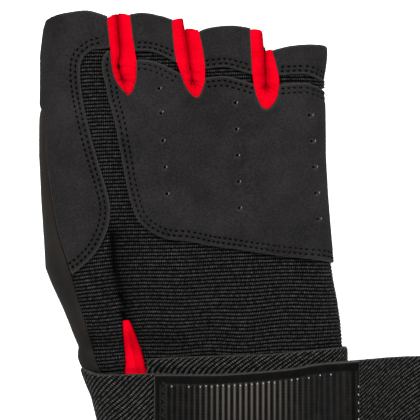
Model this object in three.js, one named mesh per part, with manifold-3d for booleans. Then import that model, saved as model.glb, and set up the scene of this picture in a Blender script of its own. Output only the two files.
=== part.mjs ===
// Fingerless weightlifting glove for the left hand, lying palm up on its back.
// Millimetres. X runs across the palm to the little finger, Y to the fingertips, Z up.
import * as THREE from 'three';
import { mergeVertices } from 'three/addons/utils/BufferGeometryUtils.js';
import Module from 'manifold-3d';

const wasm = await Module();
wasm.setup();

// Sizes of the hand, lying flat
const palmWidth = 107;
const palmLength = 99.4;
const fingerLength = 27;
const cuffLength = 56;

// Heights above the table
const palmHeight = 18.5;
const crownRise = 2.6;
const cuffHeight = 18;
const seamHeight = 9;
const sideRoll = 9;

// Walls and the clearance between layers
const knitWall = 1.1;
const padWall = 2;
const leatherWall = 1.4;
const gussetWall = 1.2;
const backWall = 1.2;
const cuffWall = 1.8;
const strapWall = 1.9;
const patchWall = 0.9;
const clearance = 0.3;

// Finger gussets: half the slit between two fingers, and how deep each finger rounds off
const slitHalf = 0.6;
const fingerRound = 8;
const gussetRoll = 7;
const flexGap = 3.4;

// Thumb, folded flat under the index side
const thumbWidth = 31;
const thumbHeight = 10.5;
const thumbLength = 52;
const thumbWall = 1.3;
const thumbDoor = 20;
const palmOverThumb = 5;
const seamOverThumb = 5;

// Strap, its free tail and the hook patch
const tailLength = 71;
const tailDrop = 42;
const patchBorder = 3.4;
const hookPitch = 2.1;
const hookHeight = 0.8;

// Perforations of the palm pad, and overlaps hidden under a seam
const holeDiameter = 1.2;
const seamAllowance = 4;

// Spacing of the sections that all the layers share
const rowStep = 9;
const rollSteps = 3;
const middleSteps = 10;
const wrapSteps = 3;
const standingRows = 2;
const gussetRows = 6;
const thumbSides = 16;
const doorSides = 12;
const punchSides = 6;
const tailSteps = 10;
const patchRows = 3;

// Half the height of every cutting prism, above and below the table
const ceiling = 60;

// Colours
const suede = new THREE.MeshStandardMaterial({ color: 0x32322f, roughness: 0.95, metalness: 0 });
const smoothLeather = new THREE.MeshStandardMaterial({ color: 0x26231f, roughness: 0.7, metalness: 0 });
const knit = new THREE.MeshStandardMaterial({ color: 0x141414, roughness: 0.9, metalness: 0 });
const redCloth = new THREE.MeshStandardMaterial({ color: 0xf0061f, roughness: 0.8, metalness: 0 });
const webbing = new THREE.MeshStandardMaterial({ color: 0x181817, roughness: 0.85, metalness: 0 });
const mouldedPlastic = new THREE.MeshStandardMaterial({ color: 0x0c0c0c, roughness: 0.3, metalness: 0 });

// Places on the plan: across is a share of the palm width from its middle line.
// Along is 0 at the wrist seam, 1 at the finger roots, 2 at the longest rim, -1 at the lower rim.
const sides = [
  { along: 2.15, left: -0.456, right: 0.493 },
  { along: 1.86, left: -0.476, right: 0.495 },
  { along: 1.5, left: -0.487, right: 0.494 },
  { along: 1.1, left: -0.488, right: 0.486 },
  { along: 0.76, left: -0.49, right: 0.491 },
  { along: 0.58, left: -0.482, right: 0.502 },
  { along: 0.44, left: -0.472, right: 0.507 },
  { along: 0.33, left: -0.462, right: 0.515 },
  { along: 0.28, left: -0.446, right: 0.522 },
  { along: 0.2, left: -0.409, right: 0.538 },
  { along: 0.12, left: -0.378, right: 0.548 },
  { along: 0.03, left: -0.347, right: 0.553 },
  { along: -0.1, left: -0.31, right: 0.557 },
  { along: -0.27, left: -0.278, right: 0.553 },
  { along: -0.45, left: -0.26, right: 0.55 },
  { along: -1.1, left: -0.25, right: 0.54 },
];

// Each finger's rim, and the upper edge of the knit that shows where the finger bends
const fingers = [
  {
    name: 'index',
    rim: [
      { across: -0.472, along: 2.0 },
      { across: -0.43, along: 2.056 },
      { across: -0.346, along: 2.11 },
      { across: -0.293, along: 2.07 },
      { across: -0.25, along: 2.0 },
    ],
  },
  {
    name: 'middle',
    rim: [
      { across: -0.19, along: 2.05 },
      { across: -0.135, along: 2.074 },
      { across: -0.075, along: 2.028 },
      { across: -0.03, along: 1.97 },
    ],
    flex: [
      { across: -0.18, along: 1.54 },
      { across: -0.125, along: 1.542 },
      { across: -0.075, along: 1.486 },
      { across: -0.01, along: 1.35 },
    ],
  },
  {
    name: 'ring',
    rim: [
      { across: 0.05, along: 1.8 },
      { across: 0.097, along: 1.868 },
      { across: 0.177, along: 1.897 },
      { across: 0.245, along: 1.855 },
    ],
    flex: [
      { across: 0.06, along: 1.28 },
      { across: 0.142, along: 1.319 },
      { across: 0.191, along: 1.278 },
      { across: 0.255, along: 1.2 },
    ],
  },
  {
    name: 'little',
    rim: [
      { across: 0.312, along: 1.54 },
      { across: 0.377, along: 1.603 },
      { across: 0.46, along: 1.628 },
      { across: 0.499, along: 1.6 },
      { across: 0.515, along: 1.5 },
    ],
    flex: [
      { across: 0.32, along: 1.2 },
      { across: 0.398, along: 1.222 },
      { across: 0.447, along: 1.208 },
      { across: 0.52, along: 1.07 },
    ],
  },
];

// Red gussets between the fingers: the edge runs from one rim round the root to the next rim
const gussets = [
  {
    crease: [{ across: -0.225, along: 2.05 }, { across: -0.204, along: 1.14 }],
    edge: [
      { across: -0.265, along: 2.014 },
      { across: -0.254, along: 1.597 },
      { across: -0.25, along: 1.36 },
      { across: -0.232, along: 1.12 },
      { across: -0.19, along: 0.98 },
      { across: -0.165, along: 1.1 },
      { across: -0.16, along: 1.36 },
      { across: -0.17, along: 1.6 },
      { across: -0.184, along: 2.05 },
    ],
  },
  {
    crease: [{ across: 0.009, along: 1.97 }, { across: 0.04, along: 1.12 }],
    edge: [
      { across: -0.037, along: 1.98 },
      { across: -0.026, along: 1.5 },
      { across: -0.005, along: 1.21 },
      { across: 0.018, along: 1.0 },
      { across: 0.051, along: 0.97 },
      { across: 0.074, along: 1.06 },
      { across: 0.079, along: 1.22 },
      { across: 0.073, along: 1.5 },
      { across: 0.056, along: 1.84 },
    ],
  },
  {
    crease: [{ across: 0.287, along: 1.86 }, { across: 0.298, along: 1.06 }],
    edge: [
      { across: 0.237, along: 1.85 },
      { across: 0.242, along: 1.42 },
      { across: 0.25, along: 1.08 },
      { across: 0.271, along: 0.95 },
      { across: 0.297, along: 0.93 },
      { across: 0.327, along: 0.965 },
      { across: 0.339, along: 1.1 },
      { across: 0.331, along: 1.3 },
      { across: 0.315, along: 1.57 },
    ],
  },
];

// Inner edge of the index panel, from the top of the knit strip to its lower tip
const indexInnerEdge = [
  { across: -0.318, along: 1.563 },
  { across: -0.353, along: 1.43 },
  { across: -0.36, along: 1.2 },
  { across: -0.35, along: 0.96 },
  { across: -0.328, along: 0.86 },
  { across: -0.296, along: 0.735 },
  { across: -0.268, along: 0.637 },
  { across: -0.252, along: 0.56 },
  { across: -0.26, along: 0.48 },
  { across: -0.296, along: 0.398 },
  { across: -0.338, along: 0.347 },
  { across: -0.388, along: 0.302 },
];

// Seam where the thumb panel meets the palm, from its upper point to the wrist
const thumbSeam = [
  { across: -0.52, along: 0.95 },
  { across: -0.481, along: 0.9 },
  { across: -0.478, along: 0.78 },
  { across: -0.465, along: 0.66 },
  { across: -0.45, along: 0.56 },
  { across: -0.43, along: 0.45 },
  { across: -0.388, along: 0.302 },
  { across: -0.363, along: 0.208 },
  { across: -0.338, along: 0.125 },
  { across: -0.32, along: 0.05 },
  { across: -0.305, along: -0.03 },
  { across: -0.29, along: -0.1 },
];

// Row of the thumb seam at which the index panel's inner edge ends
const seamMeeting = 6;

// Left and lower edges of the palm pad, from its tongue beside the first gusset
const padEdge = [
  { across: -0.265, along: 1.555 },
  { across: -0.281, along: 1.44 },
  { across: -0.282, along: 1.28 },
  { across: -0.268, along: 1.05 },
  { across: -0.258, along: 0.96 },
  { across: -0.232, along: 0.86 },
  { across: -0.212, along: 0.75 },
  { across: -0.195, along: 0.649 },
  { across: -0.177, along: 0.568 },
  { across: -0.153, along: 0.508 },
  { across: -0.11, along: 0.466 },
  { across: -0.054, along: 0.438 },
  { across: 0.018, along: 0.43 },
  { across: 0.093, along: 0.413 },
  { across: 0.191, along: 0.398 },
  { across: 0.332, along: 0.375 },
  { across: 0.472, along: 0.358 },
  { across: 0.54, along: 0.34 },
];

// Red vent at the wrist
const ventEdge = [
  { across: -0.209, along: 0.13 },
  { across: -0.186, along: 0.13 },
  { across: -0.167, along: 0.08 },
  { across: -0.146, along: 0.015 },
  { across: -0.12, along: -0.14 },
  { across: -0.2, along: -0.16 },
  { across: -0.203, along: 0.02 },
];

// Width of the thumb along its length, as a share of its full width
const thumbStations = [
  { share: 0, width: 0.45 },
  { share: 0.07, width: 0.72 },
  { share: 0.18, width: 0.9 },
  { share: 0.4, width: 1 },
  { share: 0.75, width: 0.97 },
  { share: 1, width: 0.92 },
];

// Corners that close an outline beyond what it cuts, or under the piece that covers it
const outside = { left: -0.62, right: 0.66 };
const beyondRims = 2.4;
const wristOverlap = -0.11;
const indexTongue = [{ across: -0.235, along: 1.66 }, { across: -0.262, along: 1.585 }];
const padTongue = { across: -0.235, along: 1.5 };
const knitTongue = [{ across: -0.34, along: 1.68 }, { across: -0.24, along: 1.66 }];

// Cuff: its upper and lower edge, and the notch that leaves the vent and the thumb side free
const cuffTop = -0.01;
const cuffFoot = -0.965;
const cuffNotch = { across: -0.125, along: -0.17 };

// Edges of the strap: the upper one bows, the lower one is straight
const strapTop = [
  { across: -0.5, along: -0.09 },
  { across: -0.349, along: -0.107 },
  { across: -0.29, along: -0.127 },
  { across: -0.226, along: -0.136 },
  { across: -0.1, along: -0.14 },
  { across: 0.097, along: -0.147 },
  { across: 0.237, along: -0.127 },
  { across: 0.377, along: -0.107 },
  { across: 0.472, along: -0.08 },
  { across: 0.613, along: -0.06 },
];
const strapBottom = -0.985;
const patchAcross = { from: -0.096, to: 0.606 };

// The thumb panel's reach across the back, and the share of the roll over which it comes out
const wrapReach = 0.25;
const wrapFade = 2 / 3;

// Columns of perforations, from the index side
const holes = [
  { foot: { across: -0.054, along: 0.608 }, head: { across: -0.082, along: 1.02 } },
  { foot: { across: 0.198, along: 0.555 }, head: { across: 0.184, along: 0.951 } },
  { foot: { across: 0.468, along: 0.513 }, head: { across: 0.44, along: 0.906 } },
];
const holesPerColumn = 5;

// Soft folds and dents of the palm: a valley between two places
const folds = [
  {
    from: { across: -0.247, along: 0.385 },
    to: { across: -0.209, along: 0.136 },
    depth: 0.1 * palmHeight,
    width: 0.035 * palmWidth,
  },
  {
    from: { across: -0.36, along: 1.3 },
    to: { across: -0.28, along: 0.7 },
    depth: 0.05 * palmHeight,
    width: 0.05 * palmWidth,
  },
  {
    from: { across: 0.1, along: 0.27 },
    to: { across: 0.48, along: 0.2 },
    depth: 0.045 * palmHeight,
    width: 0.08 * palmWidth,
  },
];

// Share of a fold's depth that is left at its ends
const foldEnds = 0.4;

function planY(along) {
  if (along > 1) {
    return palmLength + (along - 1) * fingerLength;
  }
  return along > 0 ? along * palmLength : along * cuffLength;
}

function plan(place) {
  return new THREE.Vector2(place.across * palmWidth, planY(place.along));
}

function curve(places, steps = 3) {
  const spline = new THREE.SplineCurve(places.map(plan));
  return spline.getPoints((places.length - 1) * steps);
}

// Straight-line reading of a table along the hand
function readSide(key, y) {
  for (let i = 1; i < sides.length; i += 1) {
    const upper = sides[i - 1];
    const lower = sides[i];
    const lowY = planY(lower.along);
    if (y >= lowY || i === sides.length - 1) {
      const t = (y - lowY) / (planY(upper.along) - lowY);
      return THREE.MathUtils.lerp(lower[key], upper[key], t) * palmWidth;
    }
  }
  return 0;
}

function creaseX(gusset, y) {
  const top = plan(gusset.crease[0]);
  const end = plan(gusset.crease[1]);
  return THREE.MathUtils.mapLinear(y, end.y, top.y, end.x, top.x);
}

function ease(value, from, to) {
  return from < to
    ? THREE.MathUtils.smoothstep(value, from, to)
    : 1 - THREE.MathUtils.smoothstep(value, to, from);
}

// Thumb's place on the plan: it lies under the index side and points to the fingertips
const thumbX = -0.265 * palmWidth;
const thumbFoot = 0.2 * palmLength;
const thumbTip = thumbFoot + thumbLength;

function thumbBand(y) {
  const start = thumbFoot - rowStep;
  const end = thumbTip + rowStep;
  return ease(y, 0, start) * ease(y, Math.max(palmLength - 2 * clearance, end + rowStep), end);
}

function overThumb(x, y) {
  const inner = thumbX + thumbWidth / 2 + palmWidth / middleSteps;
  return thumbBand(y) * ease(x, inner + thumbWidth / 2, inner);
}

// The cuff and the strap lie under the hand's back at the wrist and lift it
const wristLift = cuffWall + strapWall + 2 * clearance;
const wristRamp = 0.16 * palmLength;

function atWrist(y) {
  return ease(y, wristRamp, 0);
}

function backLift(x, y) {
  const thumb = (thumbHeight + clearance) * overThumb(x, y);
  return Math.max(thumb, wristLift * atWrist(y));
}

function seamAt(side, y) {
  const thumb = side < 0 ? seamOverThumb * thumbBand(y) : 0;
  return seamHeight + thumb + 0.5 * wristLift * atWrist(y);
}

// How much the palm side drops beside each crease, so that every finger is a round tube
const roundsFrom = 0.94 * palmLength;
const roundsTo = palmLength + 0.5 * fingerLength;

function fingerDrop(x, y) {
  const fade = ease(y, roundsFrom, roundsTo);
  if (fade === 0) {
    return 0;
  }
  const creases = gussets.map((gusset) => creaseX(gusset, y));
  const edges = [readSide('left', y), ...creases, readSide('right', y)];
  const last = edges.length - 2;
  for (let i = 0; i <= last; i += 1) {
    const middle = (edges[i] + edges[i + 1]) / 2;
    const half = (edges[i + 1] - edges[i]) / 2;
    const u = (x - middle) / half;
    const outerHalf = (i === 0 && u < 0) || (i === last && u > 0);
    if (Math.abs(u) <= 1 && !outerHalf) {
      return fade * fingerRound * (1 - Math.cbrt(1 - Math.abs(u) ** 3));
    }
  }
  return 0;
}

function foldDrop(x, y) {
  const here = new THREE.Vector2(x, y);
  let drop = 0;
  for (const fold of folds) {
    const from = plan(fold.from);
    const run = plan(fold.to).sub(from);
    const t = THREE.MathUtils.clamp(here.clone().sub(from).dot(run) / run.lengthSq(), 0, 1);
    const away = here.distanceTo(from.clone().addScaledVector(run, t));
    const ends = THREE.MathUtils.lerp(foldEnds, 1, Math.sin(Math.PI * t));
    drop += fold.depth * ends * Math.exp(-((away / fold.width) ** 2));
  }
  return drop;
}

function palmTop(x, y) {
  const left = readSide('left', y);
  const right = readSide('right', y);
  const u = (2 * x - left - right) / (right - left);
  const base = THREE.MathUtils.lerp(palmHeight, cuffHeight, atWrist(y));
  const crown = crownRise * (1 - u * u);
  return base + crown + palmOverThumb * overThumb(x, y) - fingerDrop(x, y) - foldDrop(x, y);
}

// One half of the hand's skin: c runs -1 to 0 over the left roll, 0 to 1 across, 1 to 2 over the right
function skinPoint(half, c, y) {
  const left = readSide('left', y);
  const right = readSide('right', y);
  const roll = c < 0 ? c + 1 : 2 - c;
  const angle = Math.min(roll, 1) * Math.PI / 2;
  const inset = sideRoll * (1 - Math.cos(angle));
  const across = THREE.MathUtils.lerp(left + sideRoll, right - sideRoll, THREE.MathUtils.clamp(c, 0, 1));
  const x = c < 0 ? left + inset : c > 1 ? right - inset : across;
  const seam = seamAt(c < 0.5 ? -1 : 1, y);
  const level = half > 0 ? palmTop(x, y) : backLift(x, y);
  return new THREE.Vector3(x, y, seam + (level - seam) * Math.sin(angle));
}

function skinFrame(half, c, y) {
  const step = 0.01;
  const ahead = skinPoint(half, Math.min(c + step, 2), y);
  const acrossRun = ahead.sub(skinPoint(half, Math.max(c - step, -1), y));
  const alongRun = skinPoint(half, c, y + step).sub(skinPoint(half, c, y - step));
  const normal = acrossRun.cross(alongRun).normalize().multiplyScalar(half);
  return { point: skinPoint(half, c, y), normal };
}

function toSolid(positions, triangles) {
  const mesh = new wasm.Mesh({
    numProp: 3,
    vertProperties: new Float32Array(positions),
    triVerts: new Uint32Array(triangles),
  });
  return new wasm.Manifold(mesh);
}

// A closed wall between two offsets of a grid of frames
function wall(columns, rows, frameAt, low, high, closed = false) {
  const positions = [];
  const place = (i, j, offset) => {
    const { point, normal } = frameAt(i, j);
    const distance = typeof offset === 'function' ? offset(i, j) : offset;
    positions.push(...point.addScaledVector(normal, distance).toArray());
  };
  const across = closed ? columns : columns + 1;
  for (const offset of [low, high]) {
    for (let j = 0; j <= rows; j += 1) {
      for (let i = 0; i < across; i += 1) {
        place(i, j, offset);
      }
    }
  }
  const layer = across * (rows + 1);
  const index = (i, j, top) => (top ? layer : 0) + j * across + (i % across);
  const triangles = [];
  const quad = (a, b, c, d) => triangles.push(a, b, c, a, c, d);
  for (let j = 0; j < rows; j += 1) {
    for (let i = 0; i < columns; i += 1) {
      quad(index(i, j, true), index(i + 1, j, true), index(i + 1, j + 1, true), index(i, j + 1, true));
      quad(index(i, j, false), index(i, j + 1, false), index(i + 1, j + 1, false), index(i + 1, j, false));
    }
    if (!closed) {
      quad(index(0, j, false), index(0, j, true), index(0, j + 1, true), index(0, j + 1, false));
      quad(
        index(columns, j, false), index(columns, j + 1, false),
        index(columns, j + 1, true), index(columns, j, true),
      );
    }
  }
  for (let i = 0; i < columns; i += 1) {
    quad(index(i, 0, false), index(i + 1, 0, false), index(i + 1, 0, true), index(i, 0, true));
    quad(
      index(i, rows, false), index(i, rows, true),
      index(i + 1, rows, true), index(i + 1, rows, false),
    );
  }
  return toSolid(positions, triangles);
}

// Stations across one half of the skin, from the left seam to the right seam
const stations = [];
for (let i = 0; i < rollSteps; i += 1) {
  stations.push(-1 + i / rollSteps);
}
for (let i = 0; i <= middleSteps; i += 1) {
  stations.push(i / middleSteps);
}
for (let i = 1; i <= rollSteps; i += 1) {
  stations.push(1 + i / rollSteps);
}

// A layer over one half of the hand, held a little off the side seam
function skinLayer(half, fromRow, toRow, low, high) {
  const rows = toRow - fromRow;
  const order = half > 0 ? stations : stations.slice().reverse();
  const frameAt = (i, j) => {
    const frame = skinFrame(half, order[i], (fromRow + j) * rowStep);
    const rim = i === 0 || i === order.length - 1;
    frame.point.z += rim ? half * clearance / 2 : 0;
    return frame;
  };
  return wall(order.length - 1, rows, frameAt, low, high);
}

// Stations round the whole hand, palm side first, then back along the other side
const ringStations = [
  ...stations.map((c) => ({ half: 1, c })),
  ...stations.slice(1, -1).reverse().map((c) => ({ half: -1, c })),
];

function ring(fromRow, toRow, low, high) {
  const rows = toRow - fromRow;
  const frameAt = (i, j) => {
    const { half, c } = ringStations[i % ringStations.length];
    return skinFrame(half, c, (fromRow + j) * rowStep);
  };
  return wall(ringStations.length, rows, frameAt, low, high, true);
}

function prism(outline, bottom = -ceiling, top = ceiling) {
  const shape = new THREE.Shape(outline);
  const geometry = new THREE.ExtrudeGeometry(shape, { depth: top - bottom, bevelEnabled: false });
  geometry.translate(0, 0, bottom);
  return fromGeometry(geometry);
}

function fromGeometry(geometry) {
  geometry.deleteAttribute('normal');
  geometry.deleteAttribute('uv');
  const merged = mergeVertices(geometry, 1e-4);
  return toSolid(merged.attributes.position.array, merged.index.array);
}

// An outline moved outward by a distance, whichever way it turns
function grow(outline, distance) {
  const turn = Math.sign(THREE.ShapeUtils.area(outline));
  return outline.map((point, i) => {
    const before = outline[(i + outline.length - 1) % outline.length];
    const after = outline[(i + 1) % outline.length];
    const run = after.clone().sub(before).normalize();
    return new THREE.Vector2(point.x + run.y * distance * turn, point.y - run.x * distance * turn);
  });
}

const group = new THREE.Group();

function add(name, solid, material) {
  const { vertProperties, triVerts } = solid.getMesh();
  const geometry = new THREE.BufferGeometry();
  geometry.setAttribute('position', new THREE.BufferAttribute(new Float32Array(vertProperties), 3));
  geometry.setIndex(new THREE.BufferAttribute(new Uint32Array(triVerts), 1));
  geometry.computeVertexNormals();
  const mesh = new THREE.Mesh(geometry, material);
  mesh.name = name;
  group.add(mesh);
}

// Rows of the shared grid that cover a stretch of the hand
const firstRow = Math.floor(planY(sides.at(-1).along) / rowStep);
const wristRow = Math.floor(planY(wristOverlap) / rowStep);
const lastRow = Math.ceil(planY(sides[0].along) / rowStep);
const cuffRow = 1;

// Outlines of the gussets, closed above the rims
const gussetEdges = gussets.map((gusset) => curve(gusset.edge, 2));
const gussetHoles = gussetEdges.map((edge) => {
  const over = planY(beyondRims);
  const outline = [...edge];
  outline.push(new THREE.Vector2(edge.at(-1).x, over), new THREE.Vector2(edge[0].x, over));
  return prism(grow(outline, clearance));
});

function withoutGussets(solid) {
  return gussetHoles.reduce((rest, hole) => rest.subtract(hole), solid);
}

// Layers that the palm's pieces are cut from: leather thins to half towards the side seams
function rollThinning(roll) {
  return (1 + Math.sin(roll * Math.PI / 2)) / 2;
}

function padTop(thickness) {
  return (i) => {
    const c = stations[i];
    const roll = Math.min(c < 0 ? c + 1 : 2 - c, 1);
    return clearance + thickness * rollThinning(roll);
  };
}

const knitLayer = skinLayer(1, wristRow, lastRow, -knitWall, 0);
const padLayer = skinLayer(1, wristRow, lastRow, clearance, padTop(padWall));
const leatherLayer = skinLayer(1, wristRow, lastRow, clearance, padTop(leatherWall));

function shifted(points, dx, dy) {
  return points.map((point) => new THREE.Vector2(point.x + dx, point.y + dy));
}

function outsideLeft(along) {
  return plan({ across: outside.left, along });
}

function outsideRight(along) {
  return plan({ across: outside.right, along });
}

// Finger fronts
const bending = fingers.slice(1);
for (const finger of bending) {
  const outline = [...curve(finger.rim), ...curve(finger.flex).reverse()];
  const front = withoutGussets(leatherLayer.intersect(prism(outline)));
  add(`${finger.name}_finger_front`, front, suede);
}

// Index panel: the index finger's front and the palm below it, down to the thumb seam
const indexSeam = thumbSeam.slice(0, seamMeeting + 1);
const indexOutline = [
  outsideLeft(fingers[0].rim[0].along),
  ...curve(fingers[0].rim),
  ...indexTongue.map(plan),
  ...curve(indexInnerEdge),
  ...curve(indexSeam).reverse().slice(1),
  outsideLeft(thumbSeam[0].along),
];
const thumbPanelOutline = [
  ...curve(thumbSeam),
  outsideLeft(thumbSeam.at(-1).along),
  outsideLeft(thumbSeam[0].along),
];
const thumbPanelHole = prism(grow(thumbPanelOutline, clearance));
const indexPanel = withoutGussets(leatherLayer.intersect(prism(indexOutline))).subtract(thumbPanelHole);
add('index_panel', indexPanel, suede);

// Thumb panel: smooth leather that rolls round the side from the palm to the back
const wrapStations = [
  ...stations.slice(0, wrapSteps + 1).map((_, i) => ({ half: -1, c: wrapReach * (1 - i / wrapSteps) })),
  ...stations.slice(1, rollSteps).reverse().map((c) => ({ half: -1, c })),
  ...stations.slice(0, rollSteps + wrapSteps + 1).map((c) => ({ half: 1, c })),
];
const wrapFrame = (i, j) => {
  const { half, c } = wrapStations[i];
  return skinFrame(half, c, (wristRow + j) * rowStep);
};
const wrapRoll = (i) => (wrapStations[i].half > 0 ? 1 : -1) * Math.min(wrapStations[i].c + 1, 1);
const wrapShare = (i) => THREE.MathUtils.clamp(1 + wrapRoll(i) / wrapFade, 0, 1);
const wrapTop = (i) => wrapShare(i) * (clearance + leatherWall * rollThinning(Math.abs(wrapRoll(i))));
const wrapBottom = (i) => THREE.MathUtils.lerp(-backWall, clearance, wrapShare(i));
const wrap = wall(wrapStations.length - 1, lastRow - wristRow, wrapFrame, wrapBottom, wrapTop);
add('thumb_panel', wrap.intersect(prism(thumbPanelOutline)), smoothLeather);

// Palm pad with its perforations
const padOutline = [
  ...curve(padEdge),
  outsideRight(padEdge.at(-1).along),
  ...bending.slice().reverse().flatMap((finger) => shifted(curve(finger.flex), 0, -flexGap).reverse()),
  plan(padTongue),
];
const punch = new THREE.CylinderGeometry(holeDiameter / 2, holeDiameter / 2, 2 * ceiling, punchSides);
punch.rotateX(Math.PI / 2);
const punchSolid = fromGeometry(punch);
let palmPad = withoutGussets(padLayer.intersect(prism(padOutline)));
for (const column of holes) {
  const foot = plan(column.foot);
  const head = plan(column.head);
  for (let k = 0; k < holesPerColumn; k += 1) {
    const place = foot.clone().lerp(head, k / (holesPerColumn - 1));
    palmPad = palmPad.subtract(punchSolid.translate([place.x, place.y, 0]));
  }
}
add('palm_pad', palmPad, suede);

// Red gussets: a strip that stands on the back panel beside the slit and rolls over to its edge
gussets.forEach((gusset, k) => {
  const edge = gussetEdges[k].slice().reverse();
  const end = plan(gusset.crease[1]);
  const edgeAt = (i) => {
    const whole = Math.min(Math.floor(i), edge.length - 2);
    return edge[whole].clone().lerp(edge[whole + 1], i - whole);
  };
  const pointAt = (i, j) => {
    const outer = edgeAt(i);
    const inner = outer.y > end.y
      ? new THREE.Vector2(creaseX(gusset, outer.y) + Math.sign(outer.x - end.x) * slitHalf, outer.y)
      : end.clone().add(outer.clone().sub(end).setLength(slitHalf));
    const shoulder = palmTop(outer.x, outer.y) + clearance + leatherWall;
    const foot = backLift(inner.x, inner.y) + backWall + clearance;
    const knee = shoulder - gussetRoll;
    const angle = Math.max(0, (j - standingRows) / (gussetRows - standingRows)) * Math.PI / 2;
    const flat = inner.clone().lerp(outer, 1 - Math.cos(angle));
    const standing = THREE.MathUtils.lerp(foot, knee, Math.min(j / standingRows, 1));
    return new THREE.Vector3(flat.x, flat.y, standing + gussetRoll * Math.sin(angle));
  };
  const frameAt = (i, j) => {
    const step = 0.05;
    const on = pointAt(Math.min(i + step, edge.length - 1), j).sub(pointAt(Math.max(i - step, 0), j));
    const up = pointAt(i, Math.min(j + step, gussetRows)).sub(pointAt(i, Math.max(j - step, 0)));
    return { point: pointAt(i, j), normal: on.cross(up).normalize() };
  };
  add(`finger_gusset_${k + 1}`, wall(edge.length - 1, gussetRows, frameAt, -gussetWall, 0), redCloth);
});

// Wrist vent: a red wedge let into the knit
const ventOutline = curve(ventEdge, 2);
const ventLayer = skinLayer(1, wristRow - 1, cuffRow + 1, clearance - knitWall, clearance);
add('wrist_vent', ventLayer.intersect(prism(ventOutline)), redCloth);

// Palm knit: the sheet below the pad, which shows beside it, below it and where the fingers bend
const knitOutline = [
  ...bending.flatMap((finger) => shifted(curve(finger.flex), 0, seamAllowance)),
  outsideRight(bending.at(-1).flex.at(-1).along),
  outsideRight(wristOverlap),
  ...shifted(curve(thumbSeam.slice(seamMeeting), 2), -seamAllowance, 0).reverse(),
  ...shifted(curve(indexInnerEdge, 2), -seamAllowance, 0).reverse().slice(2),
  ...knitTongue.map(plan),
];
const palmKnit = withoutGussets(knitLayer.intersect(prism(knitOutline)));
add('palm_knit', palmKnit.subtract(prism(grow(ventOutline, clearance))), knit);

// Back of the hand: one panel, slit between the fingers, with a doorway to the thumb
const backOutline = [
  outsideLeft(fingers[0].rim[0].along),
  ...fingers.flatMap((finger) => curve(finger.rim)),
  outsideRight(fingers.at(-1).rim.at(-1).along),
  outsideRight(wristOverlap),
  outsideLeft(wristOverlap),
];
let backPanel = skinLayer(-1, wristRow, lastRow, -backWall, 0).intersect(prism(backOutline));
backPanel = backPanel.subtract(thumbPanelHole);
for (const gusset of gussets) {
  const top = planY(beyondRims);
  const end = plan(gusset.crease[1]);
  const slit = [
    new THREE.Vector2(end.x + slitHalf, end.y),
    new THREE.Vector2(creaseX(gusset, top) + slitHalf, top),
    new THREE.Vector2(creaseX(gusset, top) - slitHalf, top),
    new THREE.Vector2(end.x - slitHalf, end.y),
  ];
  backPanel = backPanel.subtract(prism(slit));
}
const doorY = thumbFoot + 0.7 * thumbDoor;
const door = new THREE.CylinderGeometry(thumbDoor / 2, thumbDoor / 2, thumbHeight, doorSides);
door.rotateX(Math.PI / 2);
door.translate(thumbX, doorY, thumbHeight);
const doorSolid = fromGeometry(door);
add('back_panel', backPanel.subtract(doorSolid), knit);

// Thumb: a flattened sock with a round heel, open at the tip and, through the doorway, to the hand
function thumbRing(y, half, height, lift) {
  const points = [];
  const round = (value) => Math.sign(value) * Math.sqrt(Math.abs(value));
  const topAngle = Math.PI * (0.5 - 1 / thumbSides);
  for (let i = 0; i < thumbSides; i += 1) {
    const angle = (i + 0.5) / thumbSides * 2 * Math.PI;
    const level = round(Math.sin(angle)) / round(Math.sin(topAngle));
    const x = thumbX + half * round(Math.cos(angle));
    points.push(new THREE.Vector3(x, y, lift + height / 2 * (1 + level)));
  }
  return points;
}

function loft(rings) {
  const sidesCount = rings[0].length;
  const positions = rings.flat().flatMap((point) => point.toArray());
  const triangles = [];
  for (let r = 0; r + 1 < rings.length; r += 1) {
    for (let i = 0; i < sidesCount; i += 1) {
      const a = r * sidesCount + i;
      const b = r * sidesCount + (i + 1) % sidesCount;
      triangles.push(a, a + sidesCount, b, b, a + sidesCount, b + sidesCount);
    }
  }
  const last = (rings.length - 1) * sidesCount;
  for (let i = 1; i + 1 < sidesCount; i += 1) {
    triangles.push(0, i, i + 1, last, last + i + 1, last + i);
  }
  return toSolid(positions, triangles);
}

const thumbOuter = loft(thumbStations.map(({ share, width }) => (
  thumbRing(thumbFoot + share * thumbLength, width * thumbWidth / 2, thumbHeight, 0)
)));
const thumbInner = loft(thumbStations.map(({ share, width }) => thumbRing(
  thumbFoot + thumbWall + share * thumbLength,
  width * thumbWidth / 2 - thumbWall,
  thumbHeight - 2 * thumbWall,
  thumbWall,
)));
add('thumb_sleeve', thumbOuter.subtract(thumbInner).subtract(doorSolid), smoothLeather);

// Cuff: an elastic ring below the wrist seam, cut back round the vent and the thumb panel
const cuffOutline = [
  plan({ across: cuffNotch.across, along: cuffTop }),
  outsideRight(cuffTop),
  outsideRight(cuffFoot),
  outsideLeft(cuffFoot),
  outsideLeft(cuffNotch.along),
  plan(cuffNotch),
];
const cuffRing = ring(firstRow, cuffRow, clearance, clearance + cuffWall);
add('cuff_band', cuffRing.intersect(prism(cuffOutline)), webbing);

// Strap: sewn to the back of the cuff, round the side, over the palm and off as a free tail
const strapInner = clearance + cuffWall + clearance;
const tailStart = plan(strapTop.at(-1));
const tailEnd = tailStart.x + tailLength;
const strapStations = [
  ...stations.slice(1, -rollSteps - 1).reverse().map((c) => ({ half: -1, c })),
  ...stations.slice(0, -rollSteps).map((c) => ({ half: 1, c })),
];
const wornSteps = strapStations.length - 1;

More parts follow.
